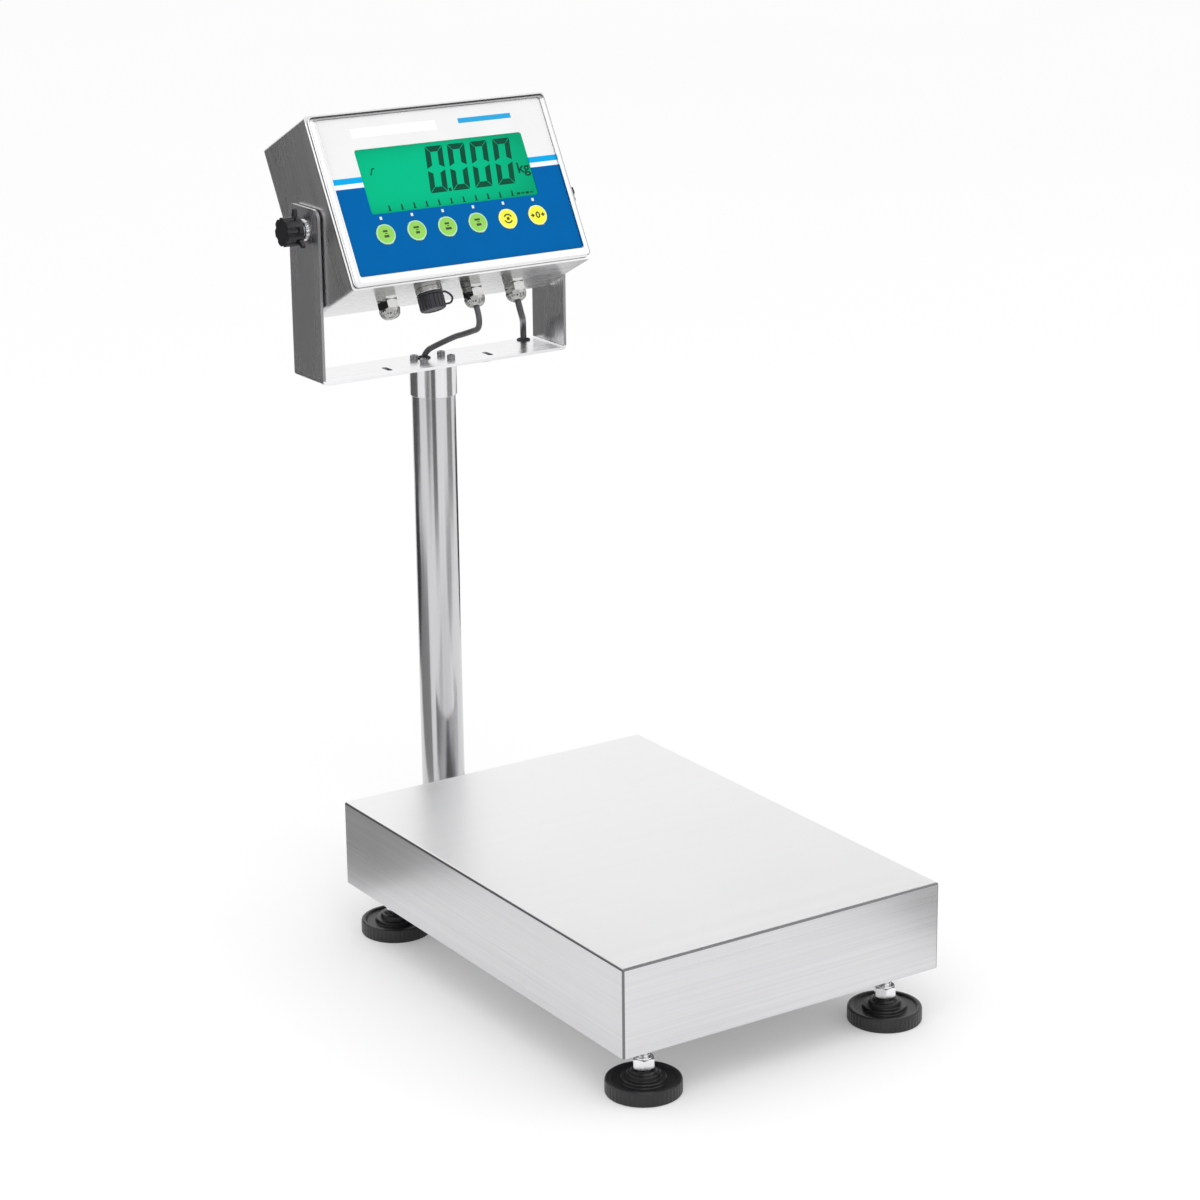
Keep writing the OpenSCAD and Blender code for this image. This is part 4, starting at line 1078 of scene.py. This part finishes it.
# The cap's skin, from its blind bore round its mouth and up over its ribs: radius, height, depth of ribs
CAP_PROFILE = [
    (0.01, 14.5, 0), (6.4, 14.5, 0), (6.4, 5.4, 0), (6.5, 5.1, 0), (11, 5.1, 0), (11.3, 5.4, 0),
    (11.3, 6.6, 0), (11, 6.9, 0), (10.4, 7.2, 0), (10.4, 7.8, 0.9), (10.4, 17.6, 0.9), (10.2, 18.6, 0.6),
    (9.9, 19.3, 0), (9.3, 19.5, 0), (8.2, 19.5, 0), (7.9, 19.2, 0), (0.01, 19.1, 0),
]
cap = loft([ribbed(r, z, depth) for r, z, depth in CAP_PROFILE])
piece("cap_body", cap, AT_SOCKET, "dust_cap", CAP_PLASTIC, ["data_cap"], 30)

# ---- knobs ----

for side in ("left", "right"):
    softened("knob_" + side, 0.7, KNOB_PLASTIC)

# ---- CAD nodes that keep their own shape ----

KEPT = [
    (BUMPER, ["pan_bumpers"]),
    (ALLOY, ["cell_spacer_upper", "cell_spacer_lower"]),
    (BOLT_STEEL, ["cell_bolts_upper", "cell_bolts_lower", "overload_stops", "bracket_bolts", "flange_bolts",
                  "housing_screws"]),
    (CHROME, ["foot_lock_nuts", "knob_stud_left", "knob_stud_right"]),
    (TURNED_STEEL, ["serrated_washers", "pivot_bosses"]),
    (GASKET_RUBBER, ["housing_gasket"]),
    (DIFFUSER, ["backlight"]),
    (BOARD, ["main_board"]),
    (CAP_PLASTIC, ["cable_clips"]),
]
for material, nodes in KEPT:
    for node in nodes:
        NODES[node].data.materials.clear()
        NODES[node].data.materials.append(material)

# ---- floor, light and the dark cards that steel mirrors ----


def stage_plane(name, place, w, h, material):
    """A flat sheet that belongs to the studio, not to the object."""
    mesh = bpy.data.meshes.new(name)
    mesh.from_pydata([(-w / 2, -h / 2, 0), (w / 2, -h / 2, 0), (w / 2, h / 2, 0), (-w / 2, h / 2, 0)], [],
                     [[0, 1, 2, 3]])
    mesh.materials.append(material)
    obj = bpy.data.objects.new(name, mesh)
    scene.collection.objects.link(obj)
    obj.matrix_world = place
    return obj


def floor_material():
    """Plain paper that glows a little, so that it renders nearly white."""
    m = Maker("floor_paper", (0.75, 0.75, 0.75), 0.7, Emission_Strength=0.22, Specular_IOR_Level=0.0)
    m.shader.inputs["Emission Color"].default_value = (1, 1, 1, 1)
    m.color(m.mix(m.noise(0.8, 2.0, 0.5), (0.74, 0.74, 0.74), (0.76, 0.76, 0.76)))
    return m.material


stage_plane("floor", IDENTITY, 60, 60, floor_material())


def dark_card(name, centre, facing, w, h, shade):
    """A card that only glossy surfaces see. Its place and size are in metres."""
    paint = Maker(name + "_card", (shade, shade, shade), 0.9, Specular_IOR_Level=0.0).material
    place = Matrix.Translation(centre) @ Vector(facing).to_track_quat("Z", "Y").to_matrix().to_4x4()
    card = stage_plane(name, place, w, h, paint)
    card.visible_camera = False
    card.visible_diffuse = False
    card.visible_shadow = False
    card.visible_transmission = False


dark_card("card_rear_left", (-0.75, 1.15, 0.37), (0.55, -0.83, 0), 1.5, 0.72, 0.12)
dark_card("card_front", (-0.55, -0.72, 0.2), (0.55, 0.83, 0), 0.42, 0.42, 0.12)
dark_card("card_right", (1.0, -0.44, 0.3), (-0.84, 0.55, 0), 0.75, 0.6, 0.28)
dark_card("card_floor_left", (-0.6, 0.5, 0.004), (0, 0, 1), 0.8, 0.62, 0.28)
dark_card("card_floor_right", (0.5, -0.62, 0.004), (0, 0, 1), 0.5, 0.5, 0.42)
dark_card("card_above", (0, 0.1, 2.2), (0, 0, -1), 1.1, 1.1, 0.1)
dark_card("card_rear_right", (0.97, 0.4, 2.05), (-0.52, -0.2, -0.8), 1.7, 1.7, 0.08)
dark_card("card_floor_rear", (1.12, 1.0, 0.004), (0, 0, 1), 1.0, 1.1, 0.03)
dark_card("card_floor_corner", (-0.45, 1.1, 0.004), (0, 0, 1), 0.7, 0.7, 0.05)
dark_card("card_left", (-1.2, 0.17, 0.6), (1, 0, 0), 0.7, 0.4, 0.03)
dark_card("card_floor_front", (-1.55, -0.8, 0.004), (0, 0, 1), 0.7, 0.9, 0.05)

world = bpy.data.worlds.new("studio")
scene.world = world
world.use_nodes = True
background = world.node_tree.nodes["Background"]
background.inputs["Color"].default_value = (1.0, 1.0, 1.0, 1)
background.inputs["Strength"].default_value = 1.0


def soft_box(name, at, toward, size, power):
    """A square lamp that shines at a point."""
    data = bpy.data.lights.new(name, "AREA")
    data.shape = "RECTANGLE"
    data.size = size
    data.size_y = size
    data.energy = power
    obj = bpy.data.objects.new(name, data)
    scene.collection.objects.link(obj)
    obj.location = at
    obj.rotation_mode = "QUATERNION"
    obj.rotation_quaternion = (Vector(toward) - Vector(at)).to_track_quat("-Z", "Y")


soft_box("light_top", (-0.8, -1.2, 2.8), (0, 0, 0.2), 1.8, 12)
soft_box("light_side", (1.8, -1.6, 1.6), (0, 0, 0.3), 1.4, 4)
